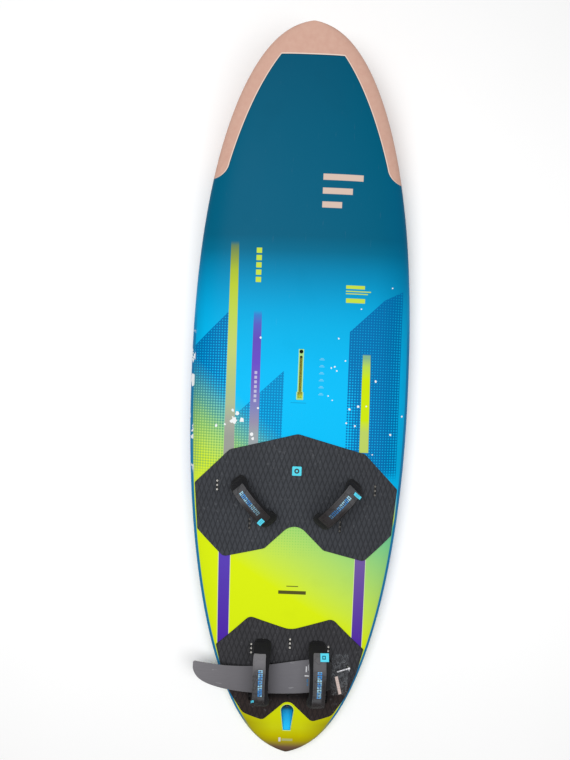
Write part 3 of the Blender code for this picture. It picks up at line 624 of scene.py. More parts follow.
# Plain bars and blocks where the real board has lettering and marks: a colour, how strong it is, and
# (left, right, low, high) for each
BARS = (
    ((214, 190, 176), 1.0, [
        (0.050, 0.184, 0.735, 0.755), (0.050, 0.150, 0.690, 0.710), (0.050, 0.116, 0.645, 0.665)]),
    ((196, 220, 70), 1.0, [
        (0.1415, 0.2050, 0.3800, 0.3915), (0.1415, 0.2260, 0.3700, 0.3735), (0.1415, 0.2160, 0.3620, 0.3650),
        (0.1427, 0.2072, 0.3330, 0.3480)]),
    ((196, 220, 70), 1.0, repeated(5, 0.0243, -0.1626, -0.1446, 0.3910, 0.4085)),
    ((86, 84, 40), 1.0, [(-0.047, 0.047, -0.6610, -0.6490), (-0.020, 0.020, -0.6350, -0.6320)]),
    ((170, 214, 226), 0.25, [(-0.0152, 0.0220, -1.1895, -1.1810)]),
    ((170, 214, 226), 0.50, repeated(6, 0.0235, 0.0620, 0.0790, 0.0200, 0.0220)),
    ((170, 214, 226), 0.50, repeated(6, 0.0235, 0.0655, 0.0755, 0.0245, 0.0265)),
    ((222, 222, 236), 0.80, [(-0.0265, -0.0190, -1.1925, -1.1775)]),
    ((222, 222, 236), 0.60, repeated(7, 0.0157, -0.1547, -0.1457, -0.0117, -0.0017)),
    ((0, 96, 140), 0.45, [(-0.030, 0.022, -0.0100, -0.0078)]),
)


def halftone(x, y, amount):
    """Dots on a square pitch, none where amount is -1 and solid where it is 1."""
    dots = (x.wave(DOT_PITCH) + y.wave(DOT_PITCH)) * 0.5
    return (amount - dots).ramp(-0.12, 0.12)


def patch(x, y, top, amount, left, right):
    """Halftone dots between two sides and behind a slanted forward edge."""
    return halftone(x, y, amount) * x.between(left, right) * (top - y).ramp(0.0, 0.001)


def rail_distance(x, y):
    """Distance in from the rail, from the outline's own formula."""
    half = WIDTH / 2
    for (a, b), end in ((NOSE_OUTLINE, 1), (TAIL_OUTLINE, -1)):
        share = (y - WIDE_Y).line(0.0, end * LENGTH / 2 - WIDE_Y)
        half = (1.0 - share.power(a)).most(0.0).power(b) * half
    return half - abs(x)


def bars(x, y, rows):
    return sum(x.between(left, right) * y.between(low, high) for left, right, low, high in rows)


def lay_lime(look, x, y, corner):
    """Lime comes in from the port rail, and takes the whole deck behind the front pad."""
    look.lay((84, 190, 160), corner.line(-0.12, 0.30) * 0.85)
    look.lay(LIME, corner.line(0.0, 0.66) * 0.92)
    look.lay(y.gradient(TAIL_ALONG), y.ramp(-0.30, -0.42))
    tint = (x * 1.35 + (y + 0.55) * 2.2 + 0.28).line(0.0, 1.0)
    look.lay(SEA_GREEN, tint * y.ramp(-0.40, -0.43) * 0.85)
    look.lay((171, 160, 14), abs(x).line(0.05, 0.15) * y.line(-1.08, -1.13))


def lay_halftones(look, x, y, corner):
    """Three patches of dots, faint dots behind the front pad, and shade towards the rails."""
    top = (x + 0.3561) * 1.0226 + 0.1815
    amount = 0.66 - (x + 0.360).line(0.02, 0.12) * 0.20 - (top - y).line(0.0, 0.40) * 0.60
    port = patch(x, y, top, amount, -0.40, -0.2499)
    top = (x + 0.1866) * 0.972 - 0.0293
    amount = (x + 0.20).line(0.0, 0.12) * 0.25 - (top - y).line(0.0, 0.20) * 0.25 + 0.38
    middle = patch(x, y, top, amount, -0.2159, -0.0560)
    top = ((x - 0.1601) * 0.960 + 0.2363).least((x - 0.2761) * 0.519 + 0.3477)
    amount = 0.72 - (x - 0.300).line(0.0, 0.035) * 0.5 - (0.10 - y).line(0.0, 0.25) * 0.12
    amount = amount - (0.205 - x).line(0.0, 0.04) * (0.13 - y).line(0.0, 0.15) * 0.75
    starboard = patch(x, y, top, amount, 0.1601, 0.3400)
    dots = (port + middle * 0.78 + starboard).least(1.0) * y.ramp(-0.28, -0.22)
    dark = y.gradient(((-0.2, (0, 106, 172)), (0.36, (0, 106, 170))))
    dark = look.mix(dark, (104, 178, 96), corner.line(-0.10, 0.40) * 0.8)
    dark = look.mix(dark, (178, 216, 48), corner.line(0.22, 0.60) * 0.60)
    look.lay(dark, dots * 0.94)
    faint = halftone(x, y, (y + 0.40).line(0.0, -0.14) * -0.9 - 0.1)
    look.lay((120, 200, 90), faint * abs(x).line(0.12, 0.06) * y.between(-0.60, -0.41, 0.01) * 0.5)
    shade = (x.line(0.24, 0.36) + x.line(-0.33, -0.38)) * y.ramp(-0.35, -0.20)
    look.lay((4, 96, 142), shade * 0.35)


def lay_stripes(look, x, y, edge):
    """The stripes, the thin blue line along the rails, and the brown rim round the tail."""
    for (fore, fore_left, fore_right), (aft, aft_left, aft_right), fade, colours in STRIPES:
        share = (y - fore) * (1 / (aft - fore))
        left = share * (aft_left - fore_left) + fore_left
        right = share * (aft_right - fore_right) + fore_right
        ends = (fore - y).ramp(0.0, fade) * (y - aft).ramp(0.0, 0.001)
        if fore < 0:
            look.lay((236, 238, 190), x.between(left - 0.002, right + 0.002, 0.0008) * ends * 0.7)
        look.lay(y.gradient(colours), x.between(left, right, 0.0008) * ends)
    look.lay((6, 120, 170), (0.0125 - edge).ramp(-0.0015, 0.0015) * y.ramp(0.34, 0.18) * y.ramp(-1.17, -1.10))
    look.lay((92, 78, 62), (0.010 - edge).ramp(-0.003, 0.003) * y.ramp(-1.14, -1.20))


def lay_guard(look, y, edge):
    """The sand-coloured nose guard, with a pale rim and a dark line round it. Returns where it lies."""
    curve = (0.78 - y).line(0.0, 0.042)
    margin = (1.0 - curve * curve).power(0.5) * 0.044 + (y - 0.785).most(0.0) * 0.06
    inside = (edge - margin).least(1.1268 - y)
    ahead = y.ramp(0.736, 0.740)
    guard = inside.ramp(0.0014, -0.0006) * ahead
    look.lay(look.mix((216, 178, 160), (203, 158, 142), look.noise(60, 6)), guard)
    look.lay((240, 220, 206), inside.between(-0.0022, 0.0012) * ahead * 0.9)
    look.lay((2, 48, 66), inside.between(0.0012, 0.0036) * ahead * 0.7)
    return guard


def lay_wear(look, x, y, edge, scuff):
    """Chips down to the white filler, pale streaks and dark scuffs. Returns where the chips are."""
    ragged = look.noise(120, 3)
    chips = (look.noise(26, 4) - 0.57).ramp(0.0, 0.012) * (0.015 - edge).ramp(-0.002, 0.004)
    chips = chips * x.ramp(0.0, -0.01) * y.between(-0.25, 0.22, 0.02)
    for at_x, at_y, radius in CHIPS:
        spot = (radius * 1.9 - look.near(at_x, at_y) - ragged * (radius * 1.9)).ramp(0.0, 0.0006)
        chips = chips.most(spot)
    look.lay((238, 241, 242), chips)
    streak = look.noise(3.0, 4, look.stretched((60, 6, 1)))
    look.lay((255, 255, 255), (streak - 0.68).ramp(0.0, 0.08) * 0.012)
    look.lay((0, 0, 0), (scuff - 0.55).ramp(0.0, 0.3) * 0.05)
    return chips


def deck_look():
    look = Look("deck_paint", roughness=0.34, specular=0.03)
    x, y, _ = look.where()
    edge = rail_distance(x, y)
    corner = ((0.08 - y) - (x + 0.34) * 0.85) * 2.5
    scuff = look.noise(9, 5)
    look.coat = y.gradient(DECK_ALONG)
    lay_lime(look, x, y, corner)
    lay_halftones(look, x, y, corner)
    lay_stripes(look, x, y, edge)
    guard = lay_guard(look, y, edge)
    for colour, strength, rows in BARS:
        look.lay(colour, bars(x, y, rows) * strength)
    chips = lay_wear(look, x, y, edge, scuff)
    look.lay((0, 0, 0), 0.09)
    return look.done(
        0.30 + scuff * 0.14 + chips * 0.3 + guard * 0.2,
        (look.noise(240, 4) * 0.3 - chips + guard * 0.4, 0.0004, 0.5),
    )


def hull_look():
    """The bottom, which stays plain: the rail colours run under it and end in one slanted lime field."""
    look = Look("hull_paint", roughness=0.32, specular=0.2)
    x, y, z = look.where()
    look.coat = y.gradient((
        (-1.2, (6, 150, 200)), (0.2, (2, 150, 200)), (0.5, (2, 104, 140)), (1.2, (5, 86, 115)),
    ))
    look.lay(LIME, (y + x * 0.6 + 0.55).ramp(0.0, -0.004))
    look.lay((84, 52, 172), (y + x * 0.6 + 0.50).between(-0.012, 0.012, 0.0008))
    look.lay((6, 120, 170), (z - 0.012).ramp(0.0, 0.010) * y.ramp(0.34, 0.18))
    guard = y.ramp(0.770, 0.776) * (z - 0.042 - (y - 0.77) * 0.30).ramp(-0.02, -0.018)
    look.lay((209, 168, 150), guard)
    scuff = look.noise(14, 5, look.stretched((1, 0.2, 1)))
    look.lay((235, 238, 240), (look.noise(40, 4) - 0.70).ramp(0.0, 0.03) * 0.35)
    look.lay((0, 0, 0), scuff * 0.10)
    return look.done(0.26 + scuff * 0.18, (look.noise(200, 3), 0.0004, 0.35))


# --- board shells ---

def strap_frame(forward, aft, above=0.0):
    """X from the forward anchor to the aft one, Z square to the deck, origin midway between the anchors."""
    a, b = deck_point(*forward), deck_point(*aft)
    x, y = (a.x + b.x) / 2, (a.y + b.y) / 2
    step = 0.01
    fall_x = deck_z(x - step, y) - deck_z(x + step, y)
    fall_y = deck_z(x, y - step) - deck_z(x, y + step)
    normal = Vector((fall_x, fall_y, 2 * step))
    along = (b - a).normalized()
    up = (normal - normal.dot(along) * along).normalized()
    axes = Matrix((along, up.cross(along), up)).transposed()
    return Matrix.Translation((a + b) / 2 + up * above) @ axes.to_4x4()


def to_side(anchors, sign):
    return [(sign * x, y) for x, y in anchors]


def insert_frames():
    """The frame of each threaded insert, square to the strap that it holds."""
    sites = []
    for end, anchors in {**STRAP_ANCHORS, **SPARE_ANCHORS}.items():
        screw_u = SCREW_U + STRAP_REACH.get(end, 0.0)
        sites += [(to_side(anchors, -1), screw_u), (to_side(anchors, 1), screw_u)]
    sites.append((CENTRE_ANCHORS, SCREW_U))
    frames = []
    for anchors, screw_u in sites:
        frame = strap_frame(*anchors)
        up = frame.col[2].to_3d()
        across = Vector((0, 1, 0)).cross(up).normalized()
        axes = Matrix((across, up.cross(across), up)).transposed().to_4x4()
        for u in (-screw_u, screw_u):
            frames.append(Matrix.Translation(frame @ Vector((u, 0, -INSERT_SUNK))) @ axes)
    return frames


def track_outline(grow):
    aft, fore = TRACK_Y
    shoulder = aft + TRACK_PORT_LENGTH
    narrow, wide = TRACK_HALF_WIDTH + grow, TRACK_PORT_HALF_WIDTH + grow
    half = [(wide, aft - grow), (wide, shoulder + grow), (narrow, shoulder + grow), (narrow, fore + grow)]
    return half + [(-x, y) for x, y in reversed(half)]


def cup_outline(grow, steps=32):
    arc = [math.pi * k / steps for k in range(steps + 1)]
    radius, tail = CUP_NOSE_R + grow, CUP_TAIL_HALF + grow
    nose = [(radius * math.cos(t), CUP_NOSE_Y + radius * math.sin(t)) for t in arc]
    return nose + [(-tail, CUP_TAIL_Y - grow), (tail, CUP_TAIL_Y - grow)]


def cup_floor(y, deeper):
    slope = (CUP_DEEP_Z - (deck_z(0, CUP_TAIL_Y) - CUP_SHALLOW)) / (CUP_NOSE_Y - CUP_TAIL_Y)
    return CUP_DEEP_Z - slope * max(0.0, CUP_NOSE_Y - y) - deeper


def cup_top(y):
    return deck_z(0, CUP_NOSE_Y) + deck_slope(FIN_BOX_Y) * (y - CUP_NOSE_Y)


def cup_tool(grow, deeper, above):
    outline = cup_outline(grow)
    low = [(x, y, cup_floor(y, deeper)) for x, y in outline]
    high = [(x, y, cup_top(y) + above) for x, y in outline]
    return loft([low, high])


def skin(name, arc, look, node, tools):
    """One half of the hull's shell: an outer and an inner surface closed at the seam, with pockets cut in it."""
    bm = bmesh.new()
    shells = [rows_of(bm, [arc(y, inset) for y in station_ys()]) for inset in (0.0, SKIN)]
    for rows in shells:
        sheet_faces(bm, rows)
        bm.faces.new(rows[0])
        bm.faces.new(rows[-1])
    rims = [[row[0] for row in rows] + [row[-1] for row in reversed(rows)] for rows in shells]
    band_faces(bm, *rims)
    obj = piece(name, bm, look)
    cut(obj, tools)
    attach(obj, "board")
    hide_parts(node)


def make_skins():
    """The deck with its pockets for inserts, track and cup, and the bottom with the fin box's opening."""
    width, length, depth = INSERT_SIZE
    pocket = rounded(box_corners(width + 2 * GAP, length + 2 * GAP, 0.005 + GAP), 3)
    pockets = [moved(prism(pocket, -depth - GAP, CLEAR), frame) for frame in insert_frames()]
    top = deck_z(0, sum(TRACK_Y) / 2)
    track = prism(track_outline(GAP), top - TRACK_DEPTH - GAP, top + CLEAR)
    cup = cup_tool(GAP, CUP_WALL / 2 + GAP, CLEAR)
    skin("deck_shell", deck_arc, deck_look(), "deck_skin", [join(pockets + [track]), cup])
    width, length, height = FIN_BOX_SIZE
    outline = rounded(box_corners(width + 2 * GAP, length + 2 * GAP, 0.010), 6)
    box = moved(prism(outline, -0.01, height + GAP), Matrix.Translation((0, FIN_BOX_Y, 0)))
    skin("bottom_shell", bottom_arc, hull_look(), "bottom_skin", [box])


# --- deck pads ---

def lattice(low, high, reach):
    """A flat slab whose top is a lattice of long raised diamonds, wider than the pad on every side."""
    bm = bmesh.new()
    half_w, half_h = DIAMOND[0] / 2, DIAMOND[1] / 2
    floor, top = {}, {}

    def corner(points, i, j, z):
        if (i, j) not in points:
            points[i, j] = bm.verts.new((i * half_w, j * half_h, z))
        return points[i, j]

    rows = range(math.floor(low / half_h) - 1, math.ceil(high / half_h) + 2)
    columns = range(-math.ceil(reach / half_w) - 1, math.ceil(reach / half_w) + 2)
    cells = {(i, j) for j in rows for i in columns if (i + j) % 2 == 0}
    steps = ((1, 0), (0, 1), (-1, 0), (0, -1))
    base = PAD_THICKNESS - GROOVE
    for i, j in sorted(cells):
        ring = [corner(top, i + a, j + b, base) for a, b in steps]
        under = [corner(floor, i + a, j + b, 0.0) for a, b in steps]
        bm.faces.new(under[::-1])
        for scale, height in DIAMOND_RINGS:
            corners = [((i + a * scale) * half_w, (j + b * scale) * half_h, height) for a, b in steps]
            inner = [bm.verts.new(at) for at in corners]
            band_faces(bm, ring, inner)
            ring = inner
        bm.faces.new(ring)
        for (a, b), (c, d) in zip(steps, steps[1:] + steps[:1]):
            if (i + a + c, j + b + d) not in cells:
                bm.faces.new([points[i + p, j + q] for points, p, q in (
                    (floor, a, b), (floor, c, d), (top, c, d), (top, a, b))])
    return bm


def pad_look(name, tone):
    """Closed-cell foam: fine cells, painted shade in the grooves, darker and browner toward the tail, and a
    painted shadow just aft of the fin.
    """
    look = Look("pad_" + name, roughness=0.8, specular=0.25)
    x, y, _ = look.where()
    look.coat = look.mix(tone, dimmed(tone, 0.72), look.noise(5, 4))
    look.lay((44, 33, 30), y.ramp(-0.95, -1.03) * 0.90)
    # painted shadow: a near-black band on the pad just aft of the fin, where the fin and straps cast shadow
    fin_shadow = y.ramp(-0.985, -1.005) * y.ramp(-1.045, -1.020) * abs(x).ramp(0.18, 0.12)
    look.lay((10, 2, 3), fin_shadow)
    cell = look.cells(900)
    look.lay((118, 120, 124), (look.noise(70, 5) - 0.60).ramp(0.0, 0.12) * 0.20)
    look.lay((18, 19, 21), (0.55 - cell).ramp(0.0, 0.4) * 0.25)
    across, along = [abs(at * (2 / size)).math("PINGPONG", 1.0) for at, size in zip((x, y), DIAMOND)]
    groove = abs(across + along - 1.0)
    # painted shade: the grooves between the diamonds are painted dark where shade falls in them
    look.lay((12, 13, 15), groove.ramp(0.42, 0.04) * 0.42)
    return look.done(0.72 + look.noise(40, 3) * 0.2, (cell, 0.0003, 0.5))


def make_pads():
    """Both pads: a lattice cut to the pad's outline, slotted at the screw holes and laid on the deck's curve."""
    screws = [frame.to_translation() for frame in insert_frames()]
    for name, half, tone in (("front", FRONT_PAD, (67, 70, 76)), ("rear", REAR_PAD, (64, 64, 68))):
        outline = rounded(mirrored(half))
        low, high = min(y for _, y in outline), max(y for _, y in outline)
        raised = lattice(low, high, max(x for x, _ in outline))
        obj = piece(f"{name}_pad", raised, pad_look(name, tone), sharp=PAD_SHARP)
        inner = shrunk(outline, PAD_BEVEL)
        levels = ((outline, -0.001), (outline, PAD_THICKNESS - 0.0024), (inner, PAD_THICKNESS + 0.0002))
        cut(obj, [loft([[(x, y, z) for x, y in ring] for ring, z in levels])], "INTERSECT")
        slot = rounded(box_corners(*PAD_SLOT, 0.0038), 4)
        places = [Matrix.Translation((at.x, at.y, 0)) for at in screws if low < at.y < high]
        slots = [moved(prism(slot, -0.01, CLEAR), place) for place in places]
        cut(obj, [join(slots)])
        for v in obj.data.vertices:
            v.co.z += deck_z(v.co.x, v.co.y) + PAD_GAP
        obj.data.set_sharp_from_angle(angle=math.radians(PAD_SHARP))
        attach(obj, "board")
        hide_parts(f"{name}_deck_pad")


# --- footstraps ---

STRAP_LIFT = 0.0012
SLEEVE_OUTER = (0.1065, 0.080)  # half length at the base, and height
SLEEVE_INNER = (0.0705, 0.064)
SLEEVE_POWERS = (2.4, 2.2)
SLEEVE_WIDTH = 0.062
SLEEVE_STEPS = 84
COVER_U = 0.0800
# How far each cover's free end runs past COVER_U, and the covers' widths
COVER_EXTRA = {"front_left": -0.003, "front_right": 0.004, "rear_left": -0.012, "rear_right": 0.007}
COVER_WIDTH = {"front_left": 0.045, "front_right": 0.050, "rear_left": 0.043, "rear_right": 0.044}
COVER_THICKNESS = 0.003
COVER_FREE_END = {"front_left": 1, "front_right": -1, "rear_left": 1, "rear_right": -1}
COVER_SIDE = {"front_left": -0.0015, "front_right": -0.003, "rear_left": -0.005, "rear_right": 0.006}
# Pull tabs: length along the strap, width across it, and how far out of the cover's middle it sits
TABS = {
    "front_left": (0.018, 0.021, 0.0115),
    "front_right": (0.012, 0.026, 0.0165),
    "rear_left": (0.010, 0.010, 0.0190),
    "rear_right": (0.027, 0.028, 0.0150),
}
# The middle of each cover's print, forward of the arch's top and to starboard of the cover's middle
PRINT_AT = {
    "front_left": (0.014, 0.0),
    "front_right": (0.006, 0.0),
    "rear_left": (0.001, 0.005),
    "rear_right": (0.005, 0.0),
}
# The painted shade on each cover, where shadow falls on it: where it starts and is full towards the aft end, the
# same across the cover, and how strong it is
COVER_SHADE = {
    "front_left": (0.060, -0.060, 0.003, -0.018, 0.80),
    "front_right": (0.060, -0.060, 0.008, 0.018, 0.75),
    "rear_left": (-0.050, -0.070, 0.040, 0.050, 0.92),
    "rear_right": (-0.050, -0.070, 0.004, 0.014, 0.92),
}
# How much paler each cover is painted towards its forward end, a painted highlight where the light falls on it
FORE_HIGHLIGHT = {"front_left": 0.0, "front_right": 0.0, "rear_left": 0.55, "rear_right": 0.25}
TAB_THICKNESS = 0.0016
PRINT_HALF = (0.046, 0.0074)
BLOCK_PITCH = 0.0118
# The tunnel for the webbing, its two walls measured from the sleeve's inner face and its half width: along the
# arch, and at the feet
TUNNEL = (0.0036, 0.0074, 0.0256)
TUNNEL_FOOT = (0.0033, 0.0297, 0.0265)
FOOT_HEIGHT = 0.0085


def arch(size, turn):
    """A point (u, n) on a strap's superellipse arch."""
    c, s = math.cos(turn), max(math.sin(turn), 0.0)
    return Vector((bent(c, SLEEVE_POWERS[0]) * size[0], size[1] * bent(s, SLEEVE_POWERS[1])))


def grown(size, by):
    return (size[0] + by, size[1] + by)


def longer(size, reach):
    return (size[0] + reach, size[1])


def strap_outer(name):
    """The sleeve's outer arch on one strap."""
    return longer(SLEEVE_OUTER, STRAP_REACH[name.split("_")[0]])


def cover_start(name, end):
    """The angle up from the deck at which a cover begins, at its end on the +u or the -u side."""
    reach = STRAP_REACH[name.split("_")[0]]
    extra = COVER_EXTRA[name] if end == COVER_FREE_END[name] else 0.0
    return math.acos(((COVER_U + reach + extra) / strap_outer(name)[0]) ** (SLEEVE_POWERS[0] / 2))


def sweep(value, low, high):
    """A smooth step from 0 at low to 1 at high."""
    share = min(max((value - low) / (high - low), 0.0), 1.0)
    return share * share * (3 - 2 * share)


def hump(value, centre, spread):
    return math.exp(-((value - centre) / spread) ** 2)


def rounded_loop(steps, power):
    """Points on a superellipse of half size 1, starting at +v."""
    return [(bent(x, power), bent(y, power)) for x, y in circle(1.0, steps)]


def mapped_loft(loops, coords, closed=False, tunnel=None):
    """A loft whose UVs, in metres, are coords for each point. A tunnel is a second set of loops inside it."""
    bm = bmesh.new()
    layer = bm.loops.layers.uv.new("cloth")
    place = {}
    sets = []
    for group in (loops, tunnel) if tunnel else (loops,):
        rings = rows_of(bm, group)
        for ring, marks in zip(rings, coords):
            place.update(zip(ring, marks))
        for one, two in zip(rings, rings[1:]):
            band_faces(bm, one, two)
        sets.append(rings)
    if tunnel:
        band_faces(bm, sets[0][0], sets[1][0])
        band_faces(bm, sets[0][-1], sets[1][-1])
    elif closed:
        bm.faces.new(sets[0][0])
        bm.faces.new(sets[0][-1])
    for face in bm.faces:
        for loop in face.loops:
            loop[layer].uv = place[loop.vert]
    return bm


def sleeve_mesh(seed, reach):
    """The padded sleeve: a hollow tube, domed, creased at its feet and gathered a little along its edges."""
    section, phase = rounded_loop(40, 3.0), random.Random(seed).uniform(0, 6)
    outside, inside, coords = [], [], []
    length, last = 0.0, None
    for k in range(SLEEVE_STEPS + 1):
        turn = math.pi * k / SLEEVE_STEPS
        far, near = arch(longer(SLEEVE_OUTER, reach), turn), arch(longer(SLEEVE_INNER, reach), turn)
        out = (far - near).normalized()
        half = (far - near).length / 2
        middle = (far + near) / 2
        length += (middle - last).length if last else 0.0
        last = middle
        foot = sweep(middle.y, 0.0, 0.022)
        held = 1 - sweep(abs(middle.x), 0.045, 0.080)
        wide = SLEEVE_WIDTH / 2 * (0.86 + 0.12 * foot - 0.11 * held)
        ring, hole, marks = [], [], []
        low, high, flat = TUNNEL_FOOT if middle.y < FOOT_HEIGHT else TUNNEL
        for v, w in section:
            crease = hump(middle.y, 0.014, 0.016) * (0.5 - 0.5 * math.cos(middle.y * 2 * math.pi / 0.0085))
            ripple = noise.noise(Vector((length * 55, v * 1.6 + phase, w + seed))) * 0.5 + 0.5
            seam = hump(abs(v), 0.80, 0.05) if abs(w) > 0.5 else 0.0
            pull = 0.0030 * crease * max(w, 0) + 0.0014 * ripple * abs(w) + 0.0011 * seam
            at = middle + out * (w * (half - pull))
            ring.append((at.x, v * (wide - 0.0009 * ripple), at.y if turn not in (0.0, math.pi) else 0.0))
            inner = near + out * (low + (high - low) * (0.5 + 0.5 * w))
            hole.append((inner.x, v * flat, max(inner.y, 0.0)))
            marks.append((length, v * wide + w * half))
        outside.append(ring)
        inside.append(hole)
        coords.append(marks)
    return mapped_loft(outside, coords, tunnel=inside)


def cover_mesh(name, seed):
    """The cover: a band with thick sewn hems, creased across where it bends."""
    under, width = strap_outer(name), COVER_WIDTH[name]
    first, finish = cover_start(name, 1), math.pi - cover_start(name, -1)
    section, steps = rounded_loop(44, 7.0), 72
    loops, coords = [], []
    length, last, middle = 0.0, None, 0.0
    for k in range(-1, steps + 2):
        turn = first + (finish - first) * min(max(k, 0), steps) / steps
        low, high = arch(grown(under, GAP), turn), arch(grown(under, GAP + COVER_THICKNESS), turn)
        length += (low - last).length if last else 0.0
        last = low
        middle = length if turn <= math.pi / 2 else middle
        end = min(k, steps - k)
        plump = 0.45 if end < 0 else 1.0
        loop, marks = [], []
        for v, w in section:
            fold = noise.noise(Vector((length * 34 + v * 0.8, v * 0.9, seed * 3.1)))
            fold = fold * 0.7 + 0.3 * noise.noise(Vector((length * 75, v * 2.0, seed * 5.3)))
            crease = noise.noise(Vector((length * 26 - v * 0.7, v * 0.8, seed * 7.7)))
            fold -= 0.9 * hump(crease, 0.0, 0.07)
            hem = sweep(abs(v), 0.80, 0.86) * 0.22
            rise = 0.82 + hem + 0.55 * fold * (1 - 0.7 * sweep(abs(v), 0.72, 0.84))
            share = 0.5 + 0.5 * w * plump
            if w > 0:
                share = 0.5 + (rise - 0.5) * w * plump
            at = low + (high - low) * min(max(share, 0.0), 1.4)
            corner = 1 - 0.11 * math.exp(-max(end, 0) / 1.2)
            edge = 0.0012 * noise.noise(Vector((length * 22, math.copysign(2.0, v), seed * 1.7)))
            loop.append((at.x, v * (width / 2 * corner - 0.0005 + edge), at.y))
            marks.append((length, v * width / 2))
        loops.append(loop)
        coords.append(marks)
    coords = [[(s - middle, v) for s, v in marks] for marks in coords]
    return mapped_loft(loops, coords, closed=True)


def tab_frame(name):
    """Where the pull tab lies on its cover, near the free end."""
    free_end = COVER_FREE_END[name]
    middle, step = cover_start(name, free_end) + 0.16, 0.12
    size = grown(strap_outer(name), 2 * GAP + COVER_THICKNESS)
    one, at, two = [arch(size, turn) for turn in (middle - step, middle, middle + step)]
    tilt = math.atan2(one.y - two.y, one.x - two.x)
    side_v = COVER_SIDE[name] - free_end * TABS[name][2]
    place = Matrix.Translation((free_end * at.x, side_v, at.y + 0.0006))
    return place @ Matrix.Rotation(-free_end * tilt, 4, "Y")


def tab_mesh(name):
    """A folded tape: its outer edge curls up, and a sewn box holds it down."""
    length, width, _ = TABS[name]
    section, steps = rounded_loop(24, 5.0), 14
    loops, coords = [], []
    outward = -COVER_FREE_END[name]
    for k in range(-1, steps + 2):
        share = min(max(k, 0), steps) / steps
        v = (share - 0.5) * width * outward
        plump = 0.55 if k in (-1, steps + 1) else 1.0
        curl = 0.0030 * sweep(share, 0.45, 1.0)
        ridge = 1.0 - 0.35 * hump(share, 0.35, 0.04) - 0.3 * hump(share, 0.06, 0.05)
        loops.append([
            (a * length / 2, v, TAB_THICKNESS * (0.5 + 0.5 * b * plump * ridge) + curl) for a, b in section
        ])
        coords.append([(a * length / 2, (share - 0.5) * width) for a, b in section])
    return mapped_loft(loops, coords, closed=True)


def weave(u, v, pitch):
    """Over-and-under threads, from 0 to 1."""
    return (u.wave(pitch) * v.wave(pitch)) * 0.5 + 0.5


def sleeve_look():
    look = Look("sleeve", roughness=0.85, specular=0.12)
    look.shader.inputs["Sheen Weight"].default_value = 0.04
    u, v, _ = look.where("UV")
    knit = weave(u + v, u - v, 0.0016)
    look.coat = look.mix((16, 16, 18), (34, 34, 37), knit * 0.5 + look.noise(60, 4) * 0.4)
    dust = (look.noise(18, 5) - 0.52).ramp(0.0, 0.25)
    look.lay((62, 60, 58), dust * 0.12)
    return look.done(0.78 + knit * 0.15, (knit, 0.0003, 0.6))


def cover_look(name):
    look = Look("cover_" + name, roughness=0.8, specular=0.2)
    look.shader.inputs["Sheen Weight"].default_value = 0.08
    u, v, _ = look.where("UV")
    threads = weave(u, v, 0.0012)
    look.coat = look.mix((62, 62, 64), (90, 90, 93), threads * 0.5 + look.noise(26, 4) * 0.5)
    look.lay((36, 36, 38), abs(u).line(0.060, 0.10) * 0.4)
    # painted shade: dark lines where the cover creases, on top of the creases' bump
    crease = abs(look.noise(30, 3) - 0.5).ramp(0.05, 0.0)
    look.lay((30, 30, 32), crease * 0.45)
    seam = abs(abs(v) - COVER_WIDTH[name] / 2 * 0.80)
    stitch = seam.ramp(0.0006, 0.0003) * (u.wave(0.0046) + 0.2).ramp(-0.2, 0.2)
    look.lay((24, 24, 26), seam.ramp(0.0012, 0.0006) * 0.6)
    look.lay((120, 116, 114), stitch * 0.6)
    # painted highlight: the forward end of the cover painted paler where the light falls on it
    look.lay((140, 138, 142), u.ramp(0.020, 0.080) * FORE_HIGHLIGHT[name])
    # a plain printed row of blocks, where the real strap carries lettering
    print_u, print_v = u - PRINT_AT[name][0], v - PRINT_AT[name][1]
    at = abs((print_u * (1 / BLOCK_PITCH)).math("FRACT") * BLOCK_PITCH - BLOCK_PITCH / 2)
    half_length, half_height = PRINT_HALF
    blocks = at.ramp(0.0046, 0.0042) * abs(print_v).ramp(half_height, half_height - 0.0004)
    hollow = at.ramp(0.0018, 0.0022) * 0.75 + abs(print_v).ramp(0.0024, 0.0028) * 0.5
    blocks = blocks * hollow.least(1.0) * abs(print_u).ramp(half_length, half_length - 0.0004)
    crazed = (look.noise(130, 4) - 0.60).ramp(0.06, 0.0)
    blue = look.mix((40, 150, 232), (176, 232, 252), (look.noise(60, 2) - 0.42).line(0.0, 0.16))
    look.lay(blue, blocks * crazed)
    # painted shade: each cover darkened towards its aft end and along one edge, where shadow falls on it
    start, full, across_start, across_full, strength = COVER_SHADE[name]
    across = v.ramp(across_start, across_full) * u.ramp(0.050, 0.0) * 0.75
    look.lay((24, 16, 16), (u.ramp(start, full) * strength).most(across))
    return look.done(0.82 - blocks * 0.25, (threads * 0.6 + stitch - crease * 2.0, 0.00045, 0.8))


def tab_look(mark):
    look = Look("tab_marked" if mark else "tab", roughness=0.7, specular=0.3)
    u, v, _ = look.where("UV")
    threads = weave(u, v, 0.0010)
    look.coat = look.mix((56, 196, 226), (104, 224, 244), threads * 0.6 + look.noise(70, 3) * 0.4)
    if mark:
        square = abs(u).most(abs(v + 0.002))
        look.lay((12, 92, 112), square.ramp(0.0062, 0.0058) * square.ramp(0.0026, 0.0030))
    else:
        look.lay((20, 120, 150), abs(u).between(0.0016, 0.0030) * abs(v).ramp(0.0070, 0.0066) * 0.8)
    return look.done(bump=(threads, 0.0002, 0.6))


def webbing_look():
    look = Look("webbing", roughness=0.75, specular=0.25)
    x, y, _ = look.where()
    rib = (x * 0.6 + y * 0.8).wave(0.0018) * 0.5 + 0.5
    look.coat = look.mix((24, 24, 26), (48, 48, 52), rib * 0.7 + look.noise(90, 3) * 0.3)
    return look.done(bump=(rib, 0.0003, 0.8))


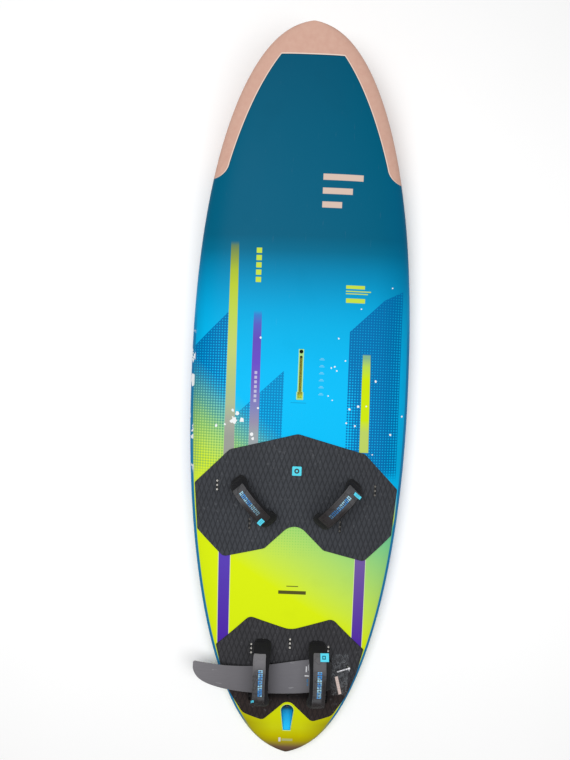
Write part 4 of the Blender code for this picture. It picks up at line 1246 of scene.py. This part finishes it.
def make_straps():
    sleeve, tab, marked = sleeve_look(), tab_look(False), tab_look(True)
    for end, anchors in STRAP_ANCHORS.items():
        for hand, sign in (("left", -1), ("right", 1)):
            name = f"{end}_{hand}"
            seed = list(TABS).index(name) + 1
            frame = strap_frame(*to_side(anchors, sign), PAD_GAP + PAD_THICKNESS + STRAP_LIFT)
            tube = piece(f"{name}_sleeve", sleeve_mesh(seed, STRAP_REACH[end]), sleeve, frame)
            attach(tube, "board")
            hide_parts(f"strap_{name}_sleeve")
            aside = Matrix.Translation((0, COVER_SIDE[name], 0))
            cover = piece(f"{name}_cover", cover_mesh(name, seed), cover_look(name), frame @ aside)
            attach(cover, "cover_" + name)
            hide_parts(f"strap_{name}_cover")
            fabric = marked if name == "rear_right" else tab
            pull = piece(f"{name}_tab", tab_mesh(name), fabric, frame @ tab_frame(name))
            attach(pull, "cover_" + name)
            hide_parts(f"strap_{name}_pull_tab")


# --- fin ---

FIN_ROOT_X = 0.1175
FIN_SPAN = 0.446
FIN_REST_Y = -0.945
FIN_LIFT = 0.0008
FIN_THICKNESS = (0.0125, 0.0030)
FIN_EDGES = (
    (0.000, -0.8750, -0.9952),
    (0.190, -0.8875, -1.0055),
    (0.407, -0.9048, -1.0096),
    (0.560, -0.9132, -1.0086),
    (0.721, -0.9147, -1.0010),
    (0.830, -0.9112, -0.9902),
    (0.910, -0.9067, -0.9768),
    (0.960, -0.9032, -0.9614),
    (0.990, -0.9022, -0.9425),
    (1.000, -0.9057, -0.9286),
)
BASE_MOUTH = (0.1180, 0.0175)
BASE_END = (0.0970, 0.0155)
BASE_DEPTH = 0.0260
NUT_HOLE_R = 0.0051
NUT_TO_END = 0.0160
# Plain ticks where the real fin has its lettering: colour, strength, and (left, right, low, high)
FIN_TICKS = (
    ((232, 233, 236), 1.0, [(0.0570, 0.0610, -0.9260, -0.9060), (0.0540, 0.0690, -0.9410, -0.9370)]),
    ((232, 233, 236), 0.7, [(0.0650, 0.0670, -0.9200, -0.9000)]),
    ((60, 128, 176), 1.0, [(0.0620, 0.0660, -0.9620, -0.9500), (0.0630, 0.0670, -0.9740, -0.9660)]),
)


def fin_edge(share, column):
    """The blade's outline between its given stations, on a smooth curve through them."""
    at = [row[0] for row in FIN_EDGES]
    i = min(max(sum(1 for s in at if s <= share) - 1, 0), len(at) - 2)
    rows = [FIN_EDGES[min(max(k, 0), len(at) - 1)] for k in (i - 1, i, i + 1, i + 2)]
    span = rows[2][0] - rows[1][0]
    t = (share - rows[1][0]) / span
    ends = []
    for before, after in ((rows[0], rows[2]), (rows[1], rows[3])):
        ends.append((after[column] - before[column]) / max(after[0] - before[0], 1e-6) * span)
    a, b = rows[1][column], rows[2][column]
    return (
        a * (2 * t**3 - 3 * t**2 + 1) + ends[0] * (t**3 - 2 * t**2 + t)
        + b * (3 * t**2 - 2 * t**3) + ends[1] * (t**3 - t**2)
    )


def foil_half(chord_share, thick):
    """Half thickness along the chord: round at the leading edge and thin at the trailing one."""
    c = min(max(chord_share, 0.0), 1.0)
    shape = 2.6 * math.sqrt(c) * (1 - c) + 0.10 * c
    return max(thick / 2 * min(shape, 1.0), 0.0003)


def blade_mesh():
    root, tip = FIN_THICKNESS
    steps, across = 72, 22
    loops = []
    for k in range(steps + 1):
        share = math.sin(math.pi / 2 * k / steps)
        trailing, leading = fin_edge(share, 1), fin_edge(share, 2)
        thick = root + (tip - root) * share
        if k == steps:
            middle = (trailing + leading) / 2
            trailing, leading = (middle + (edge - middle) * 0.9 for edge in (trailing, leading))
            thick = tip * 0.4
        top, under = [], []
        for j in range(across + 1):
            c = 0.5 - 0.5 * math.cos(math.pi * j / across)
            y = leading + (trailing - leading) * c - FIN_REST_Y
            top.append((-FIN_SPAN * share, y, foil_half(c, thick)))
            under.append((-FIN_SPAN * share, y, -foil_half(c, thick)))
        loops.append(top + under[::-1])
    return loft(loops)


def fin_frame():
    rest = deck_point(0, FIN_REST_Y, PAD_GAP + PAD_THICKNESS + BASE_MOUTH[1] / 2 + FIN_LIFT)
    return Matrix.Translation(rest) @ deck_tilt(FIN_REST_Y) @ Matrix.Translation((FIN_ROOT_X, 0, 0))


def base_mesh():
    """The moulded base that fits the fin box: tapered, with rounded corners and three shallow ribs."""
    middle = (FIN_EDGES[0][1] + FIN_EDGES[0][2]) / 2 - FIN_REST_Y
    levels = [(0.0, -0.0006), (0.03, 0.0)]
    for rib in (0.25, 0.50, 0.75):
        levels += [(rib - 0.06, 0.0), (rib - 0.045, -0.0007), (rib + 0.045, -0.0007), (rib + 0.06, 0.0)]
    levels += [(0.97, 0.0), (1.0, -0.0006)]
    loops = []
    for share, swell in levels:
        long = BASE_MOUTH[0] + (BASE_END[0] - BASE_MOUTH[0]) * share + 2 * swell
        thick = BASE_MOUTH[1] + (BASE_END[1] - BASE_MOUTH[1]) * share + 2 * swell
        ring = rounded(box_corners(long, thick, 0.0030), 5)
        loops.append([(GAP + BASE_DEPTH * share, middle + y, z) for y, z in ring])
    return loft(loops), middle


def fin_look():
    look = Look("fin", roughness=0.42, specular=0.25)
    x, y, _ = look.where()
    look.coat = x.gradient((
        (-0.33, (118, 116, 120)), (-0.20, (106, 104, 108)), (-0.05, (98, 97, 102)), (0.06, (112, 111, 116)),
        (0.12, (124, 123, 128)),
    ))
    brushed = look.noise(26, 4, look.stretched((1, 14, 14)))
    look.lay((84, 83, 88), (brushed - 0.45).line(0.0, 0.4) * 0.25)
    cloth = weave(x + y, x - y, 0.0022)
    look.lay((150, 149, 154), cloth * 0.06)
    # painted highlight: a pale band along the blade's nose-side edge towards its tip, where light catches it
    look.lay((190, 190, 194), (y + 0.897).ramp(0.0, 0.006) * x.ramp(0.0, -0.10) * 0.25)
    scrape = (look.noise(120, 3, look.stretched((0.15, 1, 1))) - 0.68).ramp(0.0, 0.03)
    look.lay((205, 205, 208), scrape * 0.35)
    for colour, strength, rows in FIN_TICKS:
        look.lay(colour, bars(x, y, rows) * strength)
    return look.done(0.36 + brushed * 0.16, (cloth * 0.3 + brushed, 0.0002, 0.4))


def make_fin():
    frame = fin_frame()
    blade = piece("fin_foil", blade_mesh(), fin_look(), frame, sharp=50)
    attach(blade, "fin")
    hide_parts("fin_blade")
    bm, middle = base_mesh()
    base = piece("fin_root", bm, moulded_look("fin_root", (34, 34, 36)), frame)
    deep = BASE_DEPTH + GAP - NUT_TO_END
    across = frame @ Matrix(((0, 0, 1, 0), (1, 0, 0, middle), (0, 1, 0, 0), (0, 0, 0, 1)))
    cut(base, [moved(prism(circle(NUT_HOLE_R, 32), deep, 0.04), across)])
    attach(base, "fin")
    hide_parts("fin_base")


# --- moulded and metal pieces ---

def moulded_look(name, tone, roughness=0.45, specular=0.4):
    """Moulded plastic: fine grain, slightly uneven gloss."""
    look = Look(name, roughness=roughness, specular=specular)
    look.coat = look.mix(tone, dimmed(tone, 0.8), look.noise(30, 4) * 0.8)
    return look.done(look.noise(55, 3) * 0.2 + (roughness - 0.08), (look.cells(1400), 0.0002, 0.4))


def metal_look(name, tone, roughness=0.25):
    look = Look(name, metallic=0.55)
    lines = look.noise(900, 2, look.stretched((1, 0.06, 1)))
    look.coat = look.mix(tone, dimmed(tone, 0.72), (lines - 0.4).line(0.0, 0.4))
    return look.done(roughness + lines * 0.15, (lines, 0.0001, 0.4))


def track_look():
    """Pale green plastic with blue sides, an olive slot, a bright port floor, and painted shade deep in the
    slot's forward end.
    """
    look = Look("track", roughness=0.4, specular=0.4)
    x, y, z = look.where()
    top = deck_z(0, sum(TRACK_Y) / 2)
    port = y.ramp(0.0290, 0.0280)
    rim = abs(x) - port * 0.003
    look.coat = look.mix((150, 200, 110), (176, 214, 96), rim.ramp(0.0058, 0.0066))
    look.lay((3, 184, 240), rim.ramp(0.0078, 0.0084))
    depth = (top - z).line(0.0008, 0.012)
    look.lay((188, 182, 0), depth)
    look.lay((226, 238, 8), y.ramp(0.0220, 0.0100) * depth)
    # painted shade: near black deep in the slot's forward end
    look.lay((10, 14, 10), (y - 0.1440).ramp(-0.001, 0.001) * depth.ramp(0.02, 0.1))
    look.lay((96, 92, 40), (look.noise(120, 4) - 0.58).ramp(0.0, 0.1) * 0.12)
    return look.done(0.35 + look.noise(80, 3) * 0.25, (look.cells(1200), 0.0002, 0.4))


def cup_look():
    look = Look("cup", roughness=0.35, specular=0.1)
    _, y, z = look.where()
    # blue cup painted darker towards its deep nose end: painted shade, near black where the cup is deepest
    look.coat = y.gradient((
        (-1.155, (14, 190, 240)), (-1.140, (12, 186, 238)), (-1.105, (6, 160, 214)), (-1.090, (4, 136, 190)),
        (-1.082, (3, 70, 100)), (-1.072, (2, 20, 28)),
    ))
    rim = deck_z(0, CUP_NOSE_Y)
    # painted highlight: a pale lime band on the cup's rounded lip, where light catches it
    lip = (z - (y - CUP_NOSE_Y) * deck_slope(FIN_BOX_Y)).ramp(rim - 0.0026, rim - 0.0014)
    look.lay((214, 238, 130), lip)
    look.lay((12, 90, 130), (look.noise(60, 5) - 0.60).ramp(0.0, 0.1) * 0.35)
    return look.done(0.30 + look.noise(40, 3) * 0.2, (look.noise(300, 2), 0.0002, 0.4))


def make_cup():
    """The moulded cup in the deck, with a rounded floor that falls towards the bolt."""
    outside, inside, under = cup_outline(0.0), cup_outline(-CUP_WALL), CUP_WALL / 2
    loops = [[(x, y, cup_floor(y, under)) for x, y in outside]]
    rim = ((outside, 0.0004), (shrunk(outside, 0.0004), 0.0), (shrunk(outside, 0.0014), 0.0), (inside, 0.001))
    for ring, below in rim:
        loops.append([(x, y, cup_top(y) - below) for x, y in ring])
    for inset, lift in ((0.0, 0.30), (0.0010, 0.14), (0.0030, 0.04), (0.0060, 0.0)):
        loops.append([
            (x, y, cup_floor(y, -under) + lift * (cup_top(y) - cup_floor(y, 0.0)))
            for x, y in shrunk(inside, inset)
        ])
    cup = piece("bolt_cup", loft(loops), cup_look())
    cut(cup, [prism(circle(BOLT_HOLE_R, 32, (0, FIN_BOX_Y)), 0.0, 0.05)])
    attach(cup, "board")
    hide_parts("fin_bolt_cup")


def make_bushings():
    """A pale threaded ring in each screw hole of the inserts."""
    rings = []
    outer, hole = 0.0031, 0.0015
    used = 2 * 2 * len(STRAP_ANCHORS)
    for i, frame in enumerate(insert_frames()):
        aft, y = i % 2, frame.to_translation().y
        if i >= used and y < -0.95:
            continue  # spare holes that the stowed fin hides
        # the spare rows' forward rings stand higher in their slots
        tall = 0.0012 if i < used or aft else 0.0060
        outside = [(outer, 0.0), (outer, tall - 0.0004), (outer - 0.0004, tall)]
        profile = outside + [(hole, tall - 0.0006), (hole, 0.0)]
        for k in (-1, 1) if i < used else (-1, 0, 1):
            at = Matrix.Translation((0, k * INSERT_PITCH, 0.0003))
            rings.append(moved(turned(profile, 20, closed=True), frame @ at))
    look = Look("bushing", roughness=0.35, specular=0.4)
    x, y, _ = look.where()
    look.coat = look.mix((244, 242, 236), (214, 210, 202), look.noise(30, 4))
    look.lay((60, 54, 52), y.ramp(-0.52, -0.50) * x.ramp(-0.19, -0.16) * 0.75)
    pale = look.done(bump=(look.cells(1400), 0.0002, 0.4))
    obj = piece("insert_bushings", join(rings), pale)
    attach(obj, "board")


BADGE_Y = -0.238
BADGE_SIZE = 0.0315
BADGE_RING = (0.0042, 0.0082)


def make_badge():
    """A plain moulded square with a raised border and a raised ring in its middle."""
    at = deck_point(0, BADGE_Y, PAD_GAP + PAD_THICKNESS + 0.0005)
    loops = []
    for inset, height in ((0.0, 0.0), (0.0, 0.0007), (0.0003, 0.0010), (0.0022, 0.0010), (0.0026, 0.0006)):
        side_length = BADGE_SIZE - 2 * inset
        outline = rounded(box_corners(side_length, side_length, 0.0032 - inset), 6)
        loops.append([(a, b, height) for a, b in outline])
    plate = loft(loops)
    hole, outer = BADGE_RING
    ring = turned([(hole, 0.0004), (outer, 0.0004), (outer, 0.0010), (hole, 0.0010)], 40, closed=True)
    look = Look("badge", roughness=0.4, specular=0.4)
    look.coat = look.mix((72, 214, 232), (50, 196, 216), look.noise(90, 3))
    look.lay((0, 16, 24), look.near(0, BADGE_Y).between(hole - 0.0004, outer + 0.0005, 0.0002))
    plastic = look.done(bump=(look.cells(1500), 0.0002, 0.4))
    obj = piece("badge_plate", join([plate, ring]), plastic, Matrix.Translation(at) @ deck_tilt(BADGE_Y))
    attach(obj, "board")
    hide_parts("pad_badge")


# --- the bag and what is in it ---

BAG_CENTRE = (0.1740, -0.9380)
BAG_SIZE = (0.058, 0.150, 0.0008)
BAG_LIFT = 0.0022
BOLT_HEAD = (0.0050, 0.0050)
BOLT_SHANK = (0.0030, 0.0420)
BOLT_REST = (0.028, 0.026)  # the bolt's head in the bag, from the bag's middle
BOLT_TURN = 104  # degrees
WASHER_R = (0.0034, 0.0085)


def hardware_frame():
    """The bag's own frame: origin at its middle, Y along it, Z square to the deck."""
    x, y = BAG_CENTRE
    step = 0.05
    frame = strap_frame((x, y + step), (x, y - step), PAD_GAP + PAD_THICKNESS + BAG_LIFT)
    return frame @ Matrix.Rotation(math.pi / 2, 4, "Z")


def bag_height(x, y):
    """How high the upper film stands over the bolt, the washer and the strip."""
    head, turn = Vector(BOLT_REST), math.radians(BOLT_TURN)
    shank = Vector((math.sin(turn), -math.cos(turn))) * BOLT_SHANK[1]
    here = Vector((x, y))
    along = min(max((here - head).dot(shank) / shank.length_squared, 0.0), 1.0)
    to_bolt = (here - head - shank * along).length
    return (0.0185 - 0.0065 * along) * math.exp(-((to_bolt / 0.0165) ** 2.4))


def film_mesh():
    """A flat bag's upper film: it tents over the bolt and is crumpled everywhere else."""
    width, length, _ = BAG_SIZE
    across, along, film = 56, 130, 0.00012
    upper = []
    for j in range(along + 1):
        row = []
        for i in range(across + 1):
            x, y = (i / across - 0.5) * width, (j / along - 0.5) * length
            edge = min(width / 2 - abs(x), length / 2 - abs(y))
            crumple = noise.noise(Vector((x * 62, y * 48, 2.7)))
            facet = abs(noise.noise(Vector((x * 120 + 3, y * 90, 9.1))))
            loose = sweep(edge, 0.0, 0.006)
            z = 0.0021 + bag_height(x, y) + loose * (0.0012 * (crumple + 0.6) + 0.0016 * facet)
            row.append((x, y, z))
        upper.append(row)
    under = [[(x, y, z - film) for x, y, z in row] for row in upper]
    bm = bmesh.new()
    rims = []
    for rows in (upper, under):
        grid = rows_of(bm, rows)
        sheet_faces(bm, grid)
        right, left = [row[-1] for row in grid[1:-1]], [row[0] for row in grid[-2:0:-1]]
        rims.append([*grid[0], *right, *grid[-1][::-1], *left])
    band_faces(bm, *rims)
    return bm


def film_look():
    look = Look("film", roughness=0.12, specular=0.5)
    wrinkle = look.noise(90, 6)
    look.coat = look.mix((225, 232, 238), (205, 214, 222), wrinkle)
    creases = abs(look.noise(55, 5) - 0.5).ramp(0.05, 0.0)
    facing = look.tree.nodes.new("ShaderNodeLayerWeight")
    facing.inputs["Blend"].default_value = 0.35
    edge = Val(look.tree, facing.outputs["Facing"])
    plug(look.tree, (creases * 0.05 + edge * 0.05 + 0.004).least(0.8), look.shader.inputs["Alpha"])
    return look.done(bump=(wrinkle, 0.0012, 0.8))


def bolt_mesh():
    """A pan head whose slot is cut later, a threaded shank and a chamfered end."""
    radius, height = BOLT_HEAD
    shank, reach = BOLT_SHANK
    pitch, plain = 0.0012, 0.0085
    profile = [
        (0.0, height), (radius * 0.6, height), (radius * 0.93, height * 0.72), (radius, height * 0.35),
        (radius, 0.0), (shank * 0.86, 0.0), (shank * 0.86, -0.008),
    ]
    for k in range(int((reach - 0.010) / pitch)):
        low = -plain - pitch * k
        profile += [(shank, low), (shank * 0.82, low - pitch * 0.5)]
    profile += [(shank * 0.6, -reach), (0.0, -reach)]
    return turned(profile, 28)


def make_hardware():
    frame = hardware_frame()
    rest = Matrix.Translation((*BOLT_REST, BAG_SIZE[2] + WASHER_R[1] + GAP))
    lying = Matrix.Rotation(math.radians(BOLT_TURN), 4, "Z") @ Matrix.Rotation(math.pi / 2, 4, "X")
    place = frame @ rest @ lying
    steel = metal_look("steel", (244, 244, 247), 0.22)
    bolt = piece("bag_bolt", bolt_mesh(), steel, place)
    slot = rounded(box_corners(0.0016, 0.008, 0.0003), 2)
    cut(bolt, [moved(prism(slot, 0.003, 0.01), place)])
    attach(bolt, "board")
    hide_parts("fin_bolt")
    inner, outer = WASHER_R
    thick = 0.0016
    ring = [
        (inner, 0.0002), (inner + 0.0002, 0.0), (outer - 0.0003, 0.0), (outer, 0.0003),
        (outer, thick - 0.0003), (outer - 0.0003, thick), (inner + 0.0002, thick), (inner, thick - 0.0002),
    ]
    slip = Matrix.Translation((0, 0, -thick - GAP))
    washer = piece("bag_washer", turned(ring, 40, closed=True), steel, place @ slip)
    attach(washer, "board")
    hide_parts("fin_bolt_washer")
    bag = piece("bag_upper_film", film_mesh(), film_look(), frame, sharp=60)
    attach(bag, "board")
    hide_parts("hardware_bag")


def paper_look():
    look = Look("paper", roughness=0.8, specular=0.2)
    _, y, _ = look.where()
    fibre = look.noise(300, 4, look.stretched((1, 0.3, 1)))
    look.coat = look.mix((226, 206, 198), (206, 184, 176), fibre)
    look.lay((150, 130, 122), (y.wave(0.009) - 0.9).ramp(0.0, 0.08) * 0.35)
    return look.done(bump=(fibre, 0.0002, 0.5))


def foam_look():
    look = Look("foam", roughness=0.9, specular=0.2)
    beads = look.cells(260)
    look.coat = look.mix((244, 244, 240), (214, 214, 208), beads.line(0.2, 0.6))
    return look.done(bump=(beads, 0.0008, 0.8))


def dress_cad(frame):
    """Better materials for the CAD nodes that stay, by a part of their names."""
    looks = {
        "insert_": moulded_look("black", (26, 26, 28)),
        "mast_track": track_look(),
        "vent_plug": moulded_look("plug", (3, 3, 4), 0.6, 0.08),
        "vent_seal": moulded_look("seal", (14, 14, 14), 0.7),
        "fin_box": moulded_look("fin_box", (42, 42, 45)),
        "fin_barrel_nut": metal_look("brass", (214, 178, 98)),
        "bag_label_strip": paper_look(),
        "foam_core": foam_look(),
        "_webbing": webbing_look(),
        "_screw_": metal_look("screw_steel", (206, 206, 210)),
    }
    for name, obj in frame["nodes"].items():
        for key, look in looks.items():
            if key in name:
                for slot in obj.material_slots:
                    slot.material = look


# --- stage ---

def area_light(name, place, size, power, aim=(0, 0, 0)):
    light = bpy.data.lights.new(name, "AREA")
    light.shape = "RECTANGLE"
    light.size, light.size_y = size
    light.energy = power
    obj = new_object(name, light)
    obj.location = place
    obj.rotation_euler = (Vector(place) - Vector(aim)).to_track_quat("Z", "Y").to_euler()


def make_stage():
    half, drop = 12.0, 0.0008
    corners = [(-half, -half, 0), (half, -half, 0), (half, half, 0), (-half, half, 0)]
    floor = bpy.data.meshes.new("floor")
    floor.from_pydata(corners, [], [(0, 1, 2, 3)])
    obj = new_object("floor", floor)
    obj.location.z = -drop
    look = Look("floor", roughness=0.95, specular=0.0)
    look.coat = look.mix((250, 250, 250), (254, 254, 254), look.noise(1.5, 2))
    floor.materials.append(look.done())
    world = bpy.data.worlds.new("studio")
    world.use_nodes = True
    background = world.node_tree.nodes["Background"]
    background.inputs["Color"].default_value = (1.0, 1.0, 1.0, 1.0)
    background.inputs["Strength"].default_value = 0.30
    bpy.context.scene.world = world
    area_light("key", (-1.3, 0.5, 4.2), (2.2, 3.0), 120)
    area_light("fill", (1.5, -0.4, 4.2), (2.2, 3.0), 70)
    bpy.context.scene.view_settings.view_transform = "Standard"


def make_camera():
    camera = bpy.data.cameras.new("camera")
    camera.lens = 32.35
    camera.sensor_fit = "VERTICAL"
    camera.sensor_height = 36.0
    camera.sensor_width = 36.0
    obj = new_object("camera", camera)
    obj.location = (-0.0515, 0.0662, 2.4288)
    obj.rotation_euler = (0, 0, math.radians(2.2))
    bpy.context.scene.camera = obj


def main():
    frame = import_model()
    make_camera()
    make_skins()
    make_pads()
    make_straps()
    make_fin()
    make_cup()
    make_bushings()
    make_badge()
    make_hardware()
    dress_cad(frame)
    make_stage()


main()
